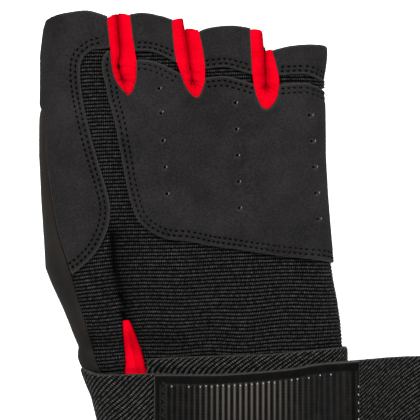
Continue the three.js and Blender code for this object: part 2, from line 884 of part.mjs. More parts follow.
function tailFrame(x, y) {
  const start = readSide('right', y) - sideRoll;
  const startLevel = skinPoint(1, 1, y).z + strapInner;
  const step = 0.01;
  const level = (at) => startLevel * (1 - THREE.MathUtils.smootherstep(at, start, start + tailDrop));
  const slope = (level(x + step) - level(x - step)) / (2 * step);
  const normal = new THREE.Vector3(-slope, 0, 1).normalize();
  return { point: new THREE.Vector3(x, y, level(x)).addScaledVector(normal, -strapInner), normal };
}

function strapFrame(i, j) {
  const y = (firstRow + j) * rowStep;
  if (i <= wornSteps) {
    const { half, c } = strapStations[i];
    return skinFrame(half, c, y);
  }
  const start = readSide('right', y) - sideRoll;
  return tailFrame(THREE.MathUtils.lerp(start, tailEnd, (i - wornSteps) / tailSteps), y);
}
const strapEdge = curve(strapTop, 3);
const strapOutline = [
  ...strapEdge,
  new THREE.Vector2(tailEnd + ceiling, tailStart.y),
  new THREE.Vector2(tailEnd + ceiling, planY(strapBottom)),
  new THREE.Vector2(strapEdge[0].x, planY(strapBottom)),
];
const strapSheet = wall(
  wornSteps + tailSteps, -firstRow, strapFrame, strapInner, strapInner + strapWall,
);
add('wrist_strap', strapSheet.intersect(prism(strapOutline)), webbing);

// Hook patch: moulded rows of hooks inside a flat border
const patchFrom = patchAcross.from * palmWidth;
const patchTo = patchAcross.to * palmWidth;
const patchStations = [{ x: patchFrom, up: 0 }];
const hookRows = Math.floor((patchTo - patchFrom - 1.5 * patchBorder) / hookPitch);
for (let k = 0; k <= hookRows; k += 1) {
  const x = patchFrom + patchBorder + k * hookPitch;
  patchStations.push({ x, up: 0 });
  if (k < hookRows) {
    patchStations.push({ x: x + hookPitch / 2, up: 1 });
  }
}
patchStations.push({ x: patchTo, up: 0 });

function heightAt(points, x) {
  const held = THREE.MathUtils.clamp(x, points[0].x, points.at(-1).x);
  const next = points.findIndex((point, i) => i > 0 && point.x >= held);
  const before = points[next - 1];
  return THREE.MathUtils.mapLinear(held, before.x, points[next].x, before.y, points[next].y);
}

function patchY(i, j) {
  const top = heightAt(strapEdge, patchStations[i].x) - clearance;
  const bottom = planY(strapBottom) + clearance;
  const inside = (j - 1) / (patchRows - 2);
  if (j === 0) {
    return bottom;
  }
  return j === patchRows ? top : THREE.MathUtils.lerp(bottom + patchBorder, top - patchBorder, inside);
}

function patchFrame(i, j) {
  const { x } = patchStations[i];
  const y = patchY(i, j);
  const from = readSide('left', y) + sideRoll;
  const to = readSide('right', y) - sideRoll;
  return x < to ? skinFrame(1, (x - from) / (to - from), y) : tailFrame(x, y);
}
const patchInner = strapInner + strapWall + clearance;
const patchTop = (i, j) => {
  const hooks = j > 0 && j < patchRows ? patchStations[i].up * hookHeight : 0;
  return patchInner + patchWall + hooks;
};
const hookPatch = wall(patchStations.length - 1, patchRows, patchFrame, patchInner, patchTop);
add('hook_patch', hookPatch, mouldedPlastic);

// The origin is the middle of the footprint, on the table
const box = new THREE.Box3().setFromObject(group);
const middle = box.getCenter(new THREE.Vector3());
group.position.set(-middle.x, -middle.y, -box.min.z);
group.updateMatrixWorld(true);

export default group;
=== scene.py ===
# %% [markdown]
# A fingerless weightlifting glove for the left hand, lying palm up on a pale table.
# The solids of the glove are already made at their real size. Here each one gets the
# surface that the eye reads: suede, rib knit, red stretch cloth, webbing and hook tape.
# The first cell loads those solids as a fixed frame, and keeps the size of their box.

# %% Load the fixed frame
import math

import bpy
import numpy as np
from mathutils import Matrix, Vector


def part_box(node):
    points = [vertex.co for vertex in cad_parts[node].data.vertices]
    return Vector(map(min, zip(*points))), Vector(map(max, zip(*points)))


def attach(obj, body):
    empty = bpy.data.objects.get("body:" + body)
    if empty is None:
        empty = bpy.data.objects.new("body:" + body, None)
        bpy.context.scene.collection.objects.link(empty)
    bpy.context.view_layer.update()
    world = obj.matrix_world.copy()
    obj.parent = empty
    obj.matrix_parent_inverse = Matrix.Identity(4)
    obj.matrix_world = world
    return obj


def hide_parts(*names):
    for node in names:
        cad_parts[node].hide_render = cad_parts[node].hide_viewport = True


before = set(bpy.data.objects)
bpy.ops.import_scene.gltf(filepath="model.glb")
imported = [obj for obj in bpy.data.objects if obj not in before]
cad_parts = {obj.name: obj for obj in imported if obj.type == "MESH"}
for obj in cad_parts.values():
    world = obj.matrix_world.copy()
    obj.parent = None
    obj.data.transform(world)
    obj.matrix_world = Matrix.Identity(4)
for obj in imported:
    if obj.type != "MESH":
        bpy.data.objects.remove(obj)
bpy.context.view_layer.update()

# %% [markdown]
# The glove is drawn in millimetres, as a glove maker would. Across is measured from the
# palm's middle line, along from the wrist seam. Two faces of the solids tell where that
# drawing lies in the frame, so nothing has to be fitted by eye.

# %% Sizes of the glove
MM = 0.001
PALM_WIDTH = 107.0
PALM_LENGTH = 99.4
FINGER_LENGTH = 27.0
CUFF_LENGTH = 56.0
PALM_HEIGHT = 18.5
CROWN_RISE = 2.6
CUFF_HEIGHT = 18.0
SEAM_HEIGHT = 9.0
SIDE_ROLL = 9.0
KNIT_WALL = 1.1
PAD_WALL = 2.0
LEATHER_WALL = 1.4
GUSSET_WALL = 1.2
BACK_WALL = 1.2
CUFF_WALL = 1.8
STRAP_WALL = 1.9
PATCH_WALL = 0.9
CLEARANCE = 0.3


def plan_y(along):
    """Millimetres from the wrist seam: 1 is the finger roots, 2 the longest rim, -1 the cuff's."""
    along = np.asarray(along, float)
    beyond = PALM_LENGTH + (along - 1) * FINGER_LENGTH
    within = np.where(along > 0, along * PALM_LENGTH, along * CUFF_LENGTH)
    return np.where(along > 1, beyond, within)


def plan(places):
    """Points of the drawing, from rows of (across, along)."""
    table = np.asarray(places, float)
    return np.column_stack([table[:, 0] * PALM_WIDTH, plan_y(table[:, 1])])


def spline(points, steps):
    """A Catmull-Rom curve through points, with so many steps between two of them."""
    count = len(points)
    t = np.linspace(0, count - 1, (count - 1) * steps + 1)
    whole = np.minimum(t.astype(int), count - 1)
    w = (t - whole)[:, None]
    p0, p1, p2, p3 = [points[np.clip(whole + k, 0, count - 1)] for k in (-1, 0, 1, 2)]
    v0, v1 = (p2 - p0) / 2, (p3 - p1) / 2
    return ((2 * p1 - 2 * p2 + v0 + v1) * w**3 + (-3 * p1 + 3 * p2 - 2 * v0 - v1) * w**2
            + v0 * w + p1)


def smooth(places, steps=10):
    """A curve through rows of (across, along)."""
    return spline(plan(places), steps)


STRAP_END_ACROSS = 0.613
TAIL_LENGTH = 71.0
TAIL_END = STRAP_END_ACROSS * PALM_WIDTH + TAIL_LENGTH
CUFF_FOOT = float(plan_y(-0.965))
SHIFT_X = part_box("wrist_strap")[1][0] / MM - TAIL_END
SHIFT_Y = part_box("cuff_band")[0][1] / MM - CUFF_FOOT
print("the drawing lies", round(SHIFT_X, 2), round(SHIFT_Y, 2), "mm from the frame's origin")

# %% [markdown]
# The hand's outline is a short table of places, read as one line. Each slit between two
# fingers is a straight line, from its top to its end.

# %% The outline of the hand
SIDES = np.array([
    # along, left, right
    (2.15, -0.466, 0.5), (1.86, -0.487, 0.504), (1.5, -0.498, 0.504), (1.1, -0.499, 0.49),
    (0.76, -0.498, 0.493), (0.58, -0.49, 0.503), (0.44, -0.48, 0.513), (0.33, -0.476, 0.527),
    (0.28, -0.458, 0.534), (0.2, -0.423, 0.549), (0.12, -0.392, 0.559), (0.03, -0.359, 0.564),
    (-0.02, -0.363, 0.565), (-0.05, -0.358, 0.565), (-0.085, -0.35, 0.565),
    (-0.13, -0.319, 0.563), (-0.27, -0.288, 0.556), (-0.45, -0.265, 0.55), (-1.1, -0.25, 0.54),
])
SIDE_Y = plan_y(SIDES[:, 0])[::-1]
CREASES = [
    ((-0.225, 2.05), (-0.204, 1.14)), ((0.009, 1.97), (0.04, 1.12)),
    ((0.287, 1.86), (0.298, 1.06)),
]


def side(column, y):
    """The left (1) or right (2) edge of the hand at y."""
    return np.interp(y, SIDE_Y, SIDES[::-1, column]) * PALM_WIDTH


def crease(which, y):
    """The middle line of the slit between two fingers."""
    top, end = plan(CREASES[which])
    return end[0] + (y - end[1]) * (top[0] - end[0]) / (top[1] - end[1])


def ease(value, start, end):
    """0 at start, 1 at end, smooth between, whichever of them is larger."""
    t = np.clip((np.asarray(value, float) - start) / (end - start), 0, 1)
    return t * t * (3 - 2 * t)


def hump(distance, width):
    """A bell curve: 1 at no distance, about a third at one width."""
    return np.exp(-((distance / width) ** 2))


# %% [markdown]
# Every layer of the glove follows the same skin, so suede, knit and webbing stay parallel
# to each other. The palm is an empty but formed hand: crowned across, rounded off at each
# finger, with shallow valleys. The back lies on the table, except over the folded thumb
# and over the cuff and the strap.

# %% The heights of the hand
THUMB_WIDTH, THUMB_HEIGHT, THUMB_LENGTH, THUMB_WALL = 31.0, 10.5, 52.0, 1.3
THUMB_X = -0.265 * PALM_WIDTH
THUMB_FOOT = 0.2 * PALM_LENGTH
THUMB_TIP = THUMB_FOOT + THUMB_LENGTH
THUMB_FADE = 9.0
THUMB_SIDE_FADE = 0.1 * PALM_WIDTH
OVER_THUMB = 5.0
WRIST_LIFT = CUFF_WALL + STRAP_WALL + 2 * CLEARANCE
FINGER_ROUND = 8.0
FOLDS = [
    # from, to, depth, width
    ((-0.247, 0.385), (-0.209, 0.136), 0.1 * PALM_HEIGHT, 0.035 * PALM_WIDTH),
    ((-0.36, 1.3), (-0.28, 0.7), 0.05 * PALM_HEIGHT, 0.05 * PALM_WIDTH),
    ((0.1, 0.27), (0.48, 0.2), 0.045 * PALM_HEIGHT, 0.08 * PALM_WIDTH),
]


def thumb_band(y):
    """Where along the hand the folded thumb lies under it."""
    start, end = THUMB_FOOT - THUMB_FADE, THUMB_TIP + THUMB_FADE
    return ease(y, 0, start) * ease(y, max(PALM_LENGTH - 2 * CLEARANCE, end + THUMB_FADE), end)


def over_thumb(x, y):
    inner = THUMB_X + THUMB_WIDTH / 2 + THUMB_SIDE_FADE
    return thumb_band(y) * ease(x, inner + THUMB_WIDTH / 2, inner)


def at_wrist(y):
    return ease(y, 0.16 * PALM_LENGTH, 0)


def back_lift(x, y):
    """How high the back of the hand lies: on the table, over the thumb, over cuff and strap."""
    return np.maximum((THUMB_HEIGHT + CLEARANCE) * over_thumb(x, y), WRIST_LIFT * at_wrist(y))


def seam_height(left_side, y):
    lifted = np.where(left_side, OVER_THUMB * thumb_band(y), 0)
    return SEAM_HEIGHT + lifted + 0.5 * WRIST_LIFT * at_wrist(y)


def finger_drop(x, y):
    """Each finger is a tube, so the skin rounds off towards the slits between them."""
    fade = ease(y, 0.94 * PALM_LENGTH, PALM_LENGTH + 0.5 * FINGER_LENGTH)
    edges = [side(1, y)] + [crease(k, y) for k in range(3)] + [side(2, y)]
    drop = np.zeros_like(x)
    for k in range(4):
        u = (2 * x - edges[k] - edges[k + 1]) / (edges[k + 1] - edges[k])
        rounded = FINGER_ROUND * (1 - np.cbrt(1 - np.minimum(np.abs(u), 1) ** 3))
        outer_half = ((k == 0) & (u < 0)) | ((k == 3) & (u > 0))
        drop = np.where((np.abs(u) <= 1) & ~outer_half, rounded, drop)
    return fade * drop


def fold_drop(x, y):
    """Shallow valleys in the palm, deepest in the middle of their run."""
    drop = np.zeros_like(x)
    for start, end, depth, width in FOLDS:
        (ax, ay), (bx, by) = plan([start, end])
        dx, dy = bx - ax, by - ay
        t = np.clip(((x - ax) * dx + (y - ay) * dy) / (dx**2 + dy**2), 0, 1)
        away = np.hypot(x - ax - t * dx, y - ay - t * dy)
        drop = drop + depth * hump(away, width) * (0.4 + 0.6 * np.sin(np.pi * t))
    return drop


def palm_top(x, y):
    """Height of the knit on the palm side."""
    left, right = side(1, y), side(2, y)
    u = (2 * x - left - right) / (right - left)
    base = PALM_HEIGHT + (CUFF_HEIGHT - PALM_HEIGHT) * at_wrist(y)
    rise = CROWN_RISE * (1 - u * u) + OVER_THUMB * over_thumb(x, y)
    return base + rise - finger_drop(x, y) - fold_drop(x, y)


print("palm height at the middle:", round(float(palm_top(np.float64(0), np.float64(50))), 1), "mm")

# %% [markdown]
# The skin has two halves: the palm above the side seam (half 1), and the back below it
# (half -1). A place c on it runs from -1 to 0 over the left roll, 0 to 1 across the hand
# and 1 to 2 over the right roll.

# %% The skin and its normals
def unit(vectors):
    """Vectors brought to length 1."""
    return vectors / np.maximum(np.linalg.norm(vectors, axis=-1, keepdims=True), 1e-9)


def skin(half, c, y):
    """Points of the hand's skin."""
    c, y = np.broadcast_arrays(np.asarray(c, float), np.asarray(y, float))
    left, right = side(1, y), side(2, y)
    angle = np.clip(np.where(c < 0, c + 1, 2 - c), 0, 1) * math.pi / 2
    inset = SIDE_ROLL * (1 - np.cos(angle))
    middle = left + SIDE_ROLL + np.clip(c, 0, 1) * (right - left - 2 * SIDE_ROLL)
    x = np.where(c < 0, left + inset, np.where(c > 1, right - inset, middle))
    level = palm_top(x, y) if half > 0 else back_lift(x, y)
    seam = seam_height(c < 0.5, y)
    return np.stack([x, y, seam + (level - seam) * np.sin(angle)], axis=-1)


def skin_frame(half, c, y):
    """Points of the skin and their outward normals, from two small steps on it.

    Past the ends of a roll the step across is zero, and there is no normal.
    """
    c_step, y_step = 0.004, 0.05
    run = skin(half, np.minimum(c + c_step, 2), y) - skin(half, np.maximum(c - c_step, -1), y)
    rise = skin(half, c, y + y_step) - skin(half, c, y - y_step)
    normal = np.cross(run, rise) * half
    return skin(half, c, y), normal / np.linalg.norm(normal, axis=-1, keepdims=True)


def choose(use_first, first, second):
    """Points and normals from the first or the second of two surfaces."""
    return [np.where(use_first[:, None], a, b) for a, b in zip(first, second)]


def both_halves(c, half, y):
    """Points and normals on whichever half of the skin each place belongs to."""
    return choose(half > 0, skin_frame(1, c, y), skin_frame(-1, c, y))


# %% [markdown]
# To lay cloth on that skin, the skin is unrolled first: one cloth direction runs across
# the hand and down over its rounded sides, the other along it. A pattern piece is cut from
# a fine grid in this flat cloth, along its outline, and then put back on the skin. Cutting
# a grid keeps even quads inside the piece, which a rib or a seam can be pressed into.

# %% Unroll the skin
ROLL_ARC = SIDE_ROLL * math.pi / 2
CLOTH_WIDTH = 90.0
LEFT_RIM, RIGHT_RIM = -ROLL_ARC, CLOTH_WIDTH + ROLL_ARC


def cloth_of(c):
    """Distance on the cloth, for a place on the skin."""
    past = CLOTH_WIDTH + (c - 1) * ROLL_ARC
    return np.where(c < 0, c * ROLL_ARC, np.where(c > 1, past, c * CLOTH_WIDTH))


def skin_place(s):
    """Place on the skin, for a distance on the cloth."""
    past = 1 + (s - CLOTH_WIDTH) / ROLL_ARC
    return np.where(s < 0, s / ROLL_ARC, np.where(s > CLOTH_WIDTH, past, s / CLOTH_WIDTH))


def unroll(points):
    """Cloth coordinates of points of the drawing; past the hand's edge they run on."""
    x, y = points[:, 0], points[:, 1]
    left, right = side(1, y), side(2, y)

    def roll(inset):
        angle = np.arccos(np.clip(1 - inset / SIDE_ROLL, -1, 1)) / (math.pi / 2)
        return np.where(inset < 0, inset / SIDE_ROLL, np.minimum(angle, 1)) - 1

    c = (x - left - SIDE_ROLL) / (right - left - 2 * SIDE_ROLL)
    c = np.where(c < 0, roll(x - left), np.where(c > 1, 1 - roll(right - x), c))
    return np.column_stack([cloth_of(c), y])


# %% [markdown]
# A pattern piece is known by its outline, a closed path. What the cutter asks of it is the
# depth of a point: how far inside the outline it lies, or outside it if negative. The same
# distance later rounds off the cut edge and places the seams.

# %% Measure the depth inside an outline
def distance_to(path, points, closed=False):
    """Distance from every point to a path of short straight runs."""
    starts = path if closed else path[:-1]
    ends = np.roll(path, -1, axis=0) if closed else path[1:]
    best = np.full(len(points), 1e9)
    for (ax, ay), (bx, by) in zip(starts, ends):
        dx, dy = bx - ax, by - ay
        length = dx * dx + dy * dy
        if length == 0:
            continue
        t = np.clip(((points[:, 0] - ax) * dx + (points[:, 1] - ay) * dy) / length, 0, 1)
        away = (points[:, 0] - ax - t * dx) ** 2 + (points[:, 1] - ay - t * dy) ** 2
        best = np.minimum(best, away)
    return np.sqrt(best)


def inside(path, points):
    """Whether each point lies inside a closed path."""
    within = np.zeros(len(points), bool)
    for (ax, ay), (bx, by) in zip(path, np.roll(path, -1, axis=0)):
        if ay == by:
            continue
        between = (points[:, 1] < ay) != (points[:, 1] < by)
        cross = ax + (points[:, 1] - ay) * (bx - ax) / (by - ay)
        within ^= between & (points[:, 0] < cross)
    return within


def depth_in(path, points):
    """How deep each point lies inside a closed path; outside it is negative."""
    away = distance_to(path, points, closed=True)
    return np.where(inside(path, points), away, -away)


def less_holes(value, points, holes):
    """The depth in a piece, less its holes; each is (path, growth)."""
    for hole, grow in holes:
        value = np.minimum(value, -depth_in(hole, points) - grow)
    return value


# %% [markdown]
# Every pattern piece is cut from a fine grid. Each grid point knows its depth inside the
# outline; cells that the outline crosses are clipped to it, so the cut edge is clean and
# the grid inside stays even.

# %% Cut a piece from a grid of cloth
SHORTEST_CUT = 0.06    # share of a grid step that a clipped edge keeps at least


def compact(faces):
    """The points that some face uses, and the faces with those points numbered anew."""
    used = sorted({v for face in faces for v in face})
    renamed = {v: i for i, v in enumerate(used)}
    return used, [[renamed[v] for v in face] for face in faces]


def cut(low, high, step, depth):
    """Faces of a grid where depth(points) is positive, trimmed along its edge."""
    counts = [max(2, int(round((b - a) / d))) for a, b, d in zip(low, high, step)]
    columns, rows = [np.linspace(a, b, n + 1) for a, b, n in zip(low, high, counts)]
    nodes = np.stack(np.meshgrid(columns, rows), axis=-1).reshape(-1, 2)
    value = depth(nodes)
    across = counts[0] + 1
    corner = (np.arange(counts[1])[:, None] * across + np.arange(counts[0])[None, :]).reshape(-1)
    cells = np.column_stack([corner, corner + 1, corner + 1 + across, corner + across])
    held = value[cells] > 0
    faces = cells[held.all(axis=1)].tolist()
    points, made = nodes.tolist(), {}
    for cell in cells[held.any(axis=1) & ~held.all(axis=1)]:
        face = []
        for a, b in zip(cell, np.roll(cell, -1)):
            if value[a] > 0:
                face.append(int(a))
            if (value[a] > 0) != (value[b] > 0):
                key = (min(a, b), max(a, b))
                if key not in made:
                    t = value[key[0]] / (value[key[0]] - value[key[1]])
                    t = float(np.clip(t, SHORTEST_CUT, 1 - SHORTEST_CUT))
                    made[key] = len(points)
                    points.append((nodes[key[0]] * (1 - t) + nodes[key[1]] * t).tolist())
                face.append(made[key])
        if len(face) > 2:
            faces.append(face)
    used, faces = compact(faces)
    return np.array([points[v] for v in used]), faces


# %% [markdown]
# A cut piece becomes a closed sheet: its upper face, its lower face and a rim between
# them. The rim's edges are found by counting, since an edge that only one face uses is on
# the border. The cloth coordinates are kept as a UV map, so the weave follows the cloth.
# Two marks are kept on the points for the finishes: the distance from the cut edge, and
# the height of a rib or fold, or on some pieces a share of painted shade or painted highlight.

# %% Turn a cut piece into a sheet with two faces and a rim
SHARP_ANGLE = math.radians(40)


def add_object(name, data):
    made = bpy.data.objects.new(name, data)
    bpy.context.scene.collection.objects.link(made)
    return made


def to_object(name, points, faces, uv=None, marks=()):
    """A smooth-shaded object from points in millimetres of the drawing."""
    placed = (np.asarray(points) + (SHIFT_X, SHIFT_Y, 0)) * MM
    mesh = bpy.data.meshes.new(name)
    mesh.from_pydata(placed.tolist(), [], faces)
    mesh.validate()
    mesh.update()
    mesh.shade_smooth()
    mesh.set_sharp_from_angle(angle=SHARP_ANGLE)
    if uv is not None:
        corner = np.empty(len(mesh.loops), np.int32)
        mesh.loops.foreach_get("vertex_index", corner)
        layer = mesh.uv_layers.new(name="cloth")
        layer.uv.foreach_set("vector", (uv[corner] * MM).astype(np.float32).ravel())
    for mark, values in dict(marks).items():
        kept = mesh.attributes.new(mark, "FLOAT", "POINT")
        kept.data.foreach_set("value", np.asarray(values, np.float32))
    return add_object(name, mesh)


def border(faces):
    """The directed edges that only one face uses."""
    runs = np.concatenate([np.column_stack([face, np.roll(face, -1)]) for face in faces])
    start, end = runs.astype(np.int64).T
    size = int(runs.max()) + 1
    return runs[~np.isin(start * size + end, end * size + start)]


def sheet_between(name, upper, lower, faces, uv, marks=()):
    """A closed sheet between two layers of the same faces."""
    count = len(upper)
    below = [[v + count for v in reversed(face)] for face in faces]
    rim = [[b, a, a + count, b + count] for a, b in border(faces).tolist()]
    marks = {mark: np.tile(values, 2) for mark, values in dict(marks).items()}
    return to_object(name, np.concatenate([upper, lower]), faces + below + rim,
                     np.tile(uv, (2, 1)), marks)


def finish_piece(piece, material, nodes=()):
    """Give a piece its finish, let it ride with the glove and stand for its solids."""
    piece.data.materials.append(material)
    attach(piece, "root")
    if nodes:
        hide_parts(*nodes)
    print(f"{piece.name}: {len(piece.data.polygons)} faces")
    return piece


# %% [markdown]
# A finish is a material made of nodes. Most finishes need the same few: noise for shade
# and grain, a ramp that turns a value into colours, a bump, and the marks of the mesh. So
# they are gathered in one helper, and each finish below reads as a short recipe.

# %% A helper for the finishes
WAVE_PERIOD = 0.314159    # metres between two waves of Blender's wave texture at scale 1


class Finish:
    """A material, with short ways to add nodes to it."""

    def __init__(self, name, roughness, specular=0.5, sheen=0.0, sheen_tint=(1, 1, 1)):
        self.material = bpy.data.materials.new(name)
        self.material.use_nodes = True
        self.tree = self.material.node_tree
        self.shader = self.tree.nodes["Principled BSDF"]
        self.plain(Roughness=roughness, Specular_IOR_Level=specular, Sheen_Weight=sheen,
                   Sheen_Roughness=0.45, Sheen_Tint=(*sheen_tint, 1))

    def plain(self, **values):
        """Plain numbers and colours on the shader's own sockets."""
        for socket, value in values.items():
            self.shader.inputs[socket.replace("_", " ")].default_value = value
        return self.material

    def node(self, kind, vector=None, **values):
        made = self.tree.nodes.new("ShaderNode" + kind)
        for socket, value in values.items():
            made.inputs[socket].default_value = value
        if vector is not None:
            self.tree.links.new(vector, made.inputs["Vector"])
        return made

    def place(self):
        """Where a point is on the glove, in metres."""
        return self.node("TexCoord").outputs["Object"]

    def cloth(self, turn=0.0):
        """Where a point is on its flat cloth, in metres; the cloth may be turned."""
        source = self.node("UVMap")
        source.uv_map = "cloth"
        return self.node("Mapping", source.outputs["UV"], Rotation=(0, 0, turn)).outputs["Vector"]

    def noise(self, vector, scale, detail=3.0, roughness=0.55):
        made = self.node("TexNoise", vector, Scale=scale, Detail=detail, Roughness=roughness)
        return made.outputs["Fac"]

    def cells(self, vector, scale):
        return self.node("TexVoronoi", vector, Scale=scale).outputs["Distance"]

    def wave(self, vector, period, axis, distortion):
        """Even waves across the cloth, with their period in millimetres."""
        scale = WAVE_PERIOD / (period * MM)
        made = self.node("TexWave", vector, Scale=scale, Distortion=distortion)
        made.bands_direction = axis
        return made.outputs["Fac"]

    def mark(self, name):
        """A value that the mesh keeps on its points."""
        made = self.node("Attribute")
        made.attribute_name = name
        return made.outputs["Fac"]

    def ramp(self, value, *stops):
        """Colours by value; each stop is (place, colour), and one number is a grey."""
        made = self.node("ValToRGB")
        while len(made.color_ramp.elements) < len(stops):
            made.color_ramp.elements.new(0.5)
        for element, (at, colour) in zip(made.color_ramp.elements, stops):
            element.position = at
            element.color = (*(colour if isinstance(colour, tuple) else (colour,) * 3), 1)
        self.tree.links.new(value, made.inputs["Fac"])
        return made.outputs["Color"]

    def blend(self, share, first, second, how="MIX"):
        made = self.node("Mix")
        made.data_type = "RGBA"
        made.blend_type = how
        for socket, value in zip((0, 6, 7), (share, first, second)):
            if hasattr(value, "links"):
                self.tree.links.new(value, made.inputs[socket])
            else:
                value = value if isinstance(value, float) else (*value, 1)
                made.inputs[socket].default_value = value
        return made.outputs[2]

    def times(self, colour, *shades):
        """A colour multiplied by shades."""
        for shade in shades:
            colour = self.blend(1.0, colour, shade, "MULTIPLY")
        return colour

    def paint(self, colour, *heights):
        """The colour, and a chain of bumps; each is (height, depth in metres)."""
        self.tree.links.new(colour, self.shader.inputs["Base Color"])
        normal = None
        for height, depth in heights:
            made = self.node("Bump", Strength=1.0, Distance=depth)
            self.tree.links.new(height, made.inputs["Height"])
            if normal is not None:
                self.tree.links.new(normal, made.inputs["Normal"])
            normal = made.outputs["Normal"]
        self.tree.links.new(normal, self.shader.inputs["Normal"])
        return self.material


# %% [markdown]
# Suede is the glove's main leather: matt, dark grey, with a short nap that catches light at
# a flat angle. The nap is a sheen on the shader, its cloudy shade is large noise, and its
# grain is a fine bump. The cut edge is painted paler: partly where the split leather shows,
# partly as a painted highlight along the edge. The thumb side is smooth leather, browner,
# with a fine pebbled grain. The thread is waxed black polyester, darker than what it is
# sewn through.

# %% Suede, smooth leather and thread
def suede_finish(name, dark, light, edge_wear_and_highlight_colour):
    made = Finish(name, 1.0, specular=0.0, sheen=0.02, sheen_tint=(1, 0.96, 0.9))
    place = made.place()
    cloud = made.ramp(made.noise(place, 60, 5, 0.65), (0.34, dark), (0.66, light))
    grain = made.noise(place, 1500, 3, 0.6)
    body = made.times(cloud, made.ramp(grain, (0.35, 0.72), (0.68, 1.35)))
    # Paler towards the cut edge: partly the split leather, partly a painted highlight.
    worn = made.ramp(made.mark("edge"), (0.0, 1), (0.4, 0.3), (0.95, 0))
    return made.paint(
        made.blend(worn, body, edge_wear_and_highlight_colour),
        (grain, 0.00012), (made.cells(place, 1500), 0.00005), (made.noise(place, 220), 0.0004),
    )


def leather_finish():
    made = Finish("smooth_leather", 0.7, specular=0.02)
    place = made.place()
    cloud = made.ramp(made.noise(place, 40, 4),
                      (0.3, (0.0098, 0.0088, 0.008)), (0.7, (0.0155, 0.0136, 0.0122)))
    pebbles = made.cells(place, 1100)
    return made.paint(cloud, (pebbles, 0.0001), (made.noise(place, 300), 0.0003))


def thread_finish(name, dark, light):
    made = Finish(name, 0.7, specular=0.0)
    twist = made.noise(made.place(), 4000, 2)
    return made.paint(made.ramp(twist, (0.3, dark), (0.8, light)), (twist, 0.0001))


suede = suede_finish(
    "suede", (0.0098, 0.0092, 0.0092), (0.0154, 0.0145, 0.0144), (0.042, 0.039, 0.037),
)
smooth_leather = leather_finish()
thread = thread_finish("thread", 0.0004, 0.003)

# %% [markdown]
# The knit is an elastic rib: ribs run across the hand, and each rib is a row of small
# stitches. The webbing is an elastic twill, whose slanting ribs are chains of knots. The
# ribs are pressed into the mesh further down. Stitches and knots are too small for that,
# so they are waves in the cloth's own coordinates, with fuzz over them. The valleys
# between the ribs are painted dark, as painted shade, because little light gets there. The
# webbing's cut edge is painted paler, a painted highlight along it.

# %% Knit and webbing
STITCH_PITCH = 0.72
TWILL_TURN = math.radians(39)


def woven_finish(name, roughness, loops, body, fuzz, worn, valley, rim=None):
    """Cloth of small loops: colours, fuzz, uneven wear, and painted shade in the valleys."""
    made = Finish(name, roughness, specular=0.03)
    turn, period, distortion = loops
    scale, fuzz_depth = fuzz
    knots = made.wave(made.cloth(turn), period, "X", distortion)
    hairs = made.noise(made.place(), scale)
    patches = made.noise(made.place(), worn[0], 2)
    # The rib mark paints shade into the valleys: darkest where the mark is low.
    colour = made.times(
        made.ramp(knots, *body), made.ramp(hairs, (0.3, 0.5), (0.75, 1.6)),
        made.ramp(patches, (0.36, worn[1]), (0.66, worn[2])), made.ramp(made.mark("rib"), *valley),
    )
    # Paler cut edge: a painted highlight along the edge.
    if rim:
        edge = made.ramp(made.mark("edge"), (0.15, 0.8), (0.6, 0))
        colour = made.blend(edge, colour, rim)
    return made.paint(colour, (knots, 0.0002), (hairs, fuzz_depth))


def knit_finish(name, dark, light, columns=STITCH_PITCH):
    return woven_finish(
        name, 0.85, (0.0, columns, 0.4), ((0.1, dark), (0.8, light)), (1800, 0.0001),
        (900, 0.45, 1.45), ((0.55, 0.01), (0.98, 1)),
    )


rib_knit = knit_finish("rib_knit", (0.004, 0.0039, 0.0039), (0.033, 0.032, 0.0315))
back_knit = knit_finish("back_knit", 0.008, (0.018, 0.018, 0.0178), 0.5)
webbing = woven_finish(
    "webbing", 0.75, (-TWILL_TURN, 0.8, 0.8),
    ((0.15, (0.01, 0.0098, 0.0096)), (0.85, (0.062, 0.0605, 0.058))), (2200, 0.00008),
    (750, 0.35, 1.5), ((0.6, 0.02), (1.0, 1)), rim=(0.035, 0.033, 0.031),
)

# %% [markdown]
# The red gussets are a thin stretch cloth. It scatters light inside the pile, which a soft
# sheen in its own colour imitates; a very fine weave breaks the surface, and its folds are
# painted darker, as painted shade. The hook tape is moulded nylon, nearly black; its border
# is the darkest, and its ribs are painted paler, a painted highlight where the lamps would
# reflect; its cut edge is painted paler too, a painted highlight.

# %% Red cloth and hook plastic
RED_WEAVE = 0.42
BORDER_SCALE = 0.2    # the border's mark reaches past 1 mm, so it is scaled into the ramp


def red_finish():
    made = Finish("red_cloth", 0.9, specular=0.0, sheen=0.03, sheen_tint=(1, 0.0, 0.03))
    place, cloth = made.place(), made.cloth()
    cloud = made.ramp(made.noise(place, 160),
                      (0.3, (0.51, 0.0002, 0.007)), (0.7, (0.6, 0.0006, 0.0112)))
    # Painted shade: darker where the rib mark is low, in the gussets' valleys and on the vent's
    # right lobe.
    fold = made.ramp(made.mark("rib"), (0.0, (0.62, 0.6, 0.55)), (1.0, 1))
    weave = [(made.wave(cloth, RED_WEAVE, axis, 0.6), 0.00006) for axis in "XY"]
    return made.paint(made.times(cloud, fold), *weave, (made.noise(place, 420), 0.00025))


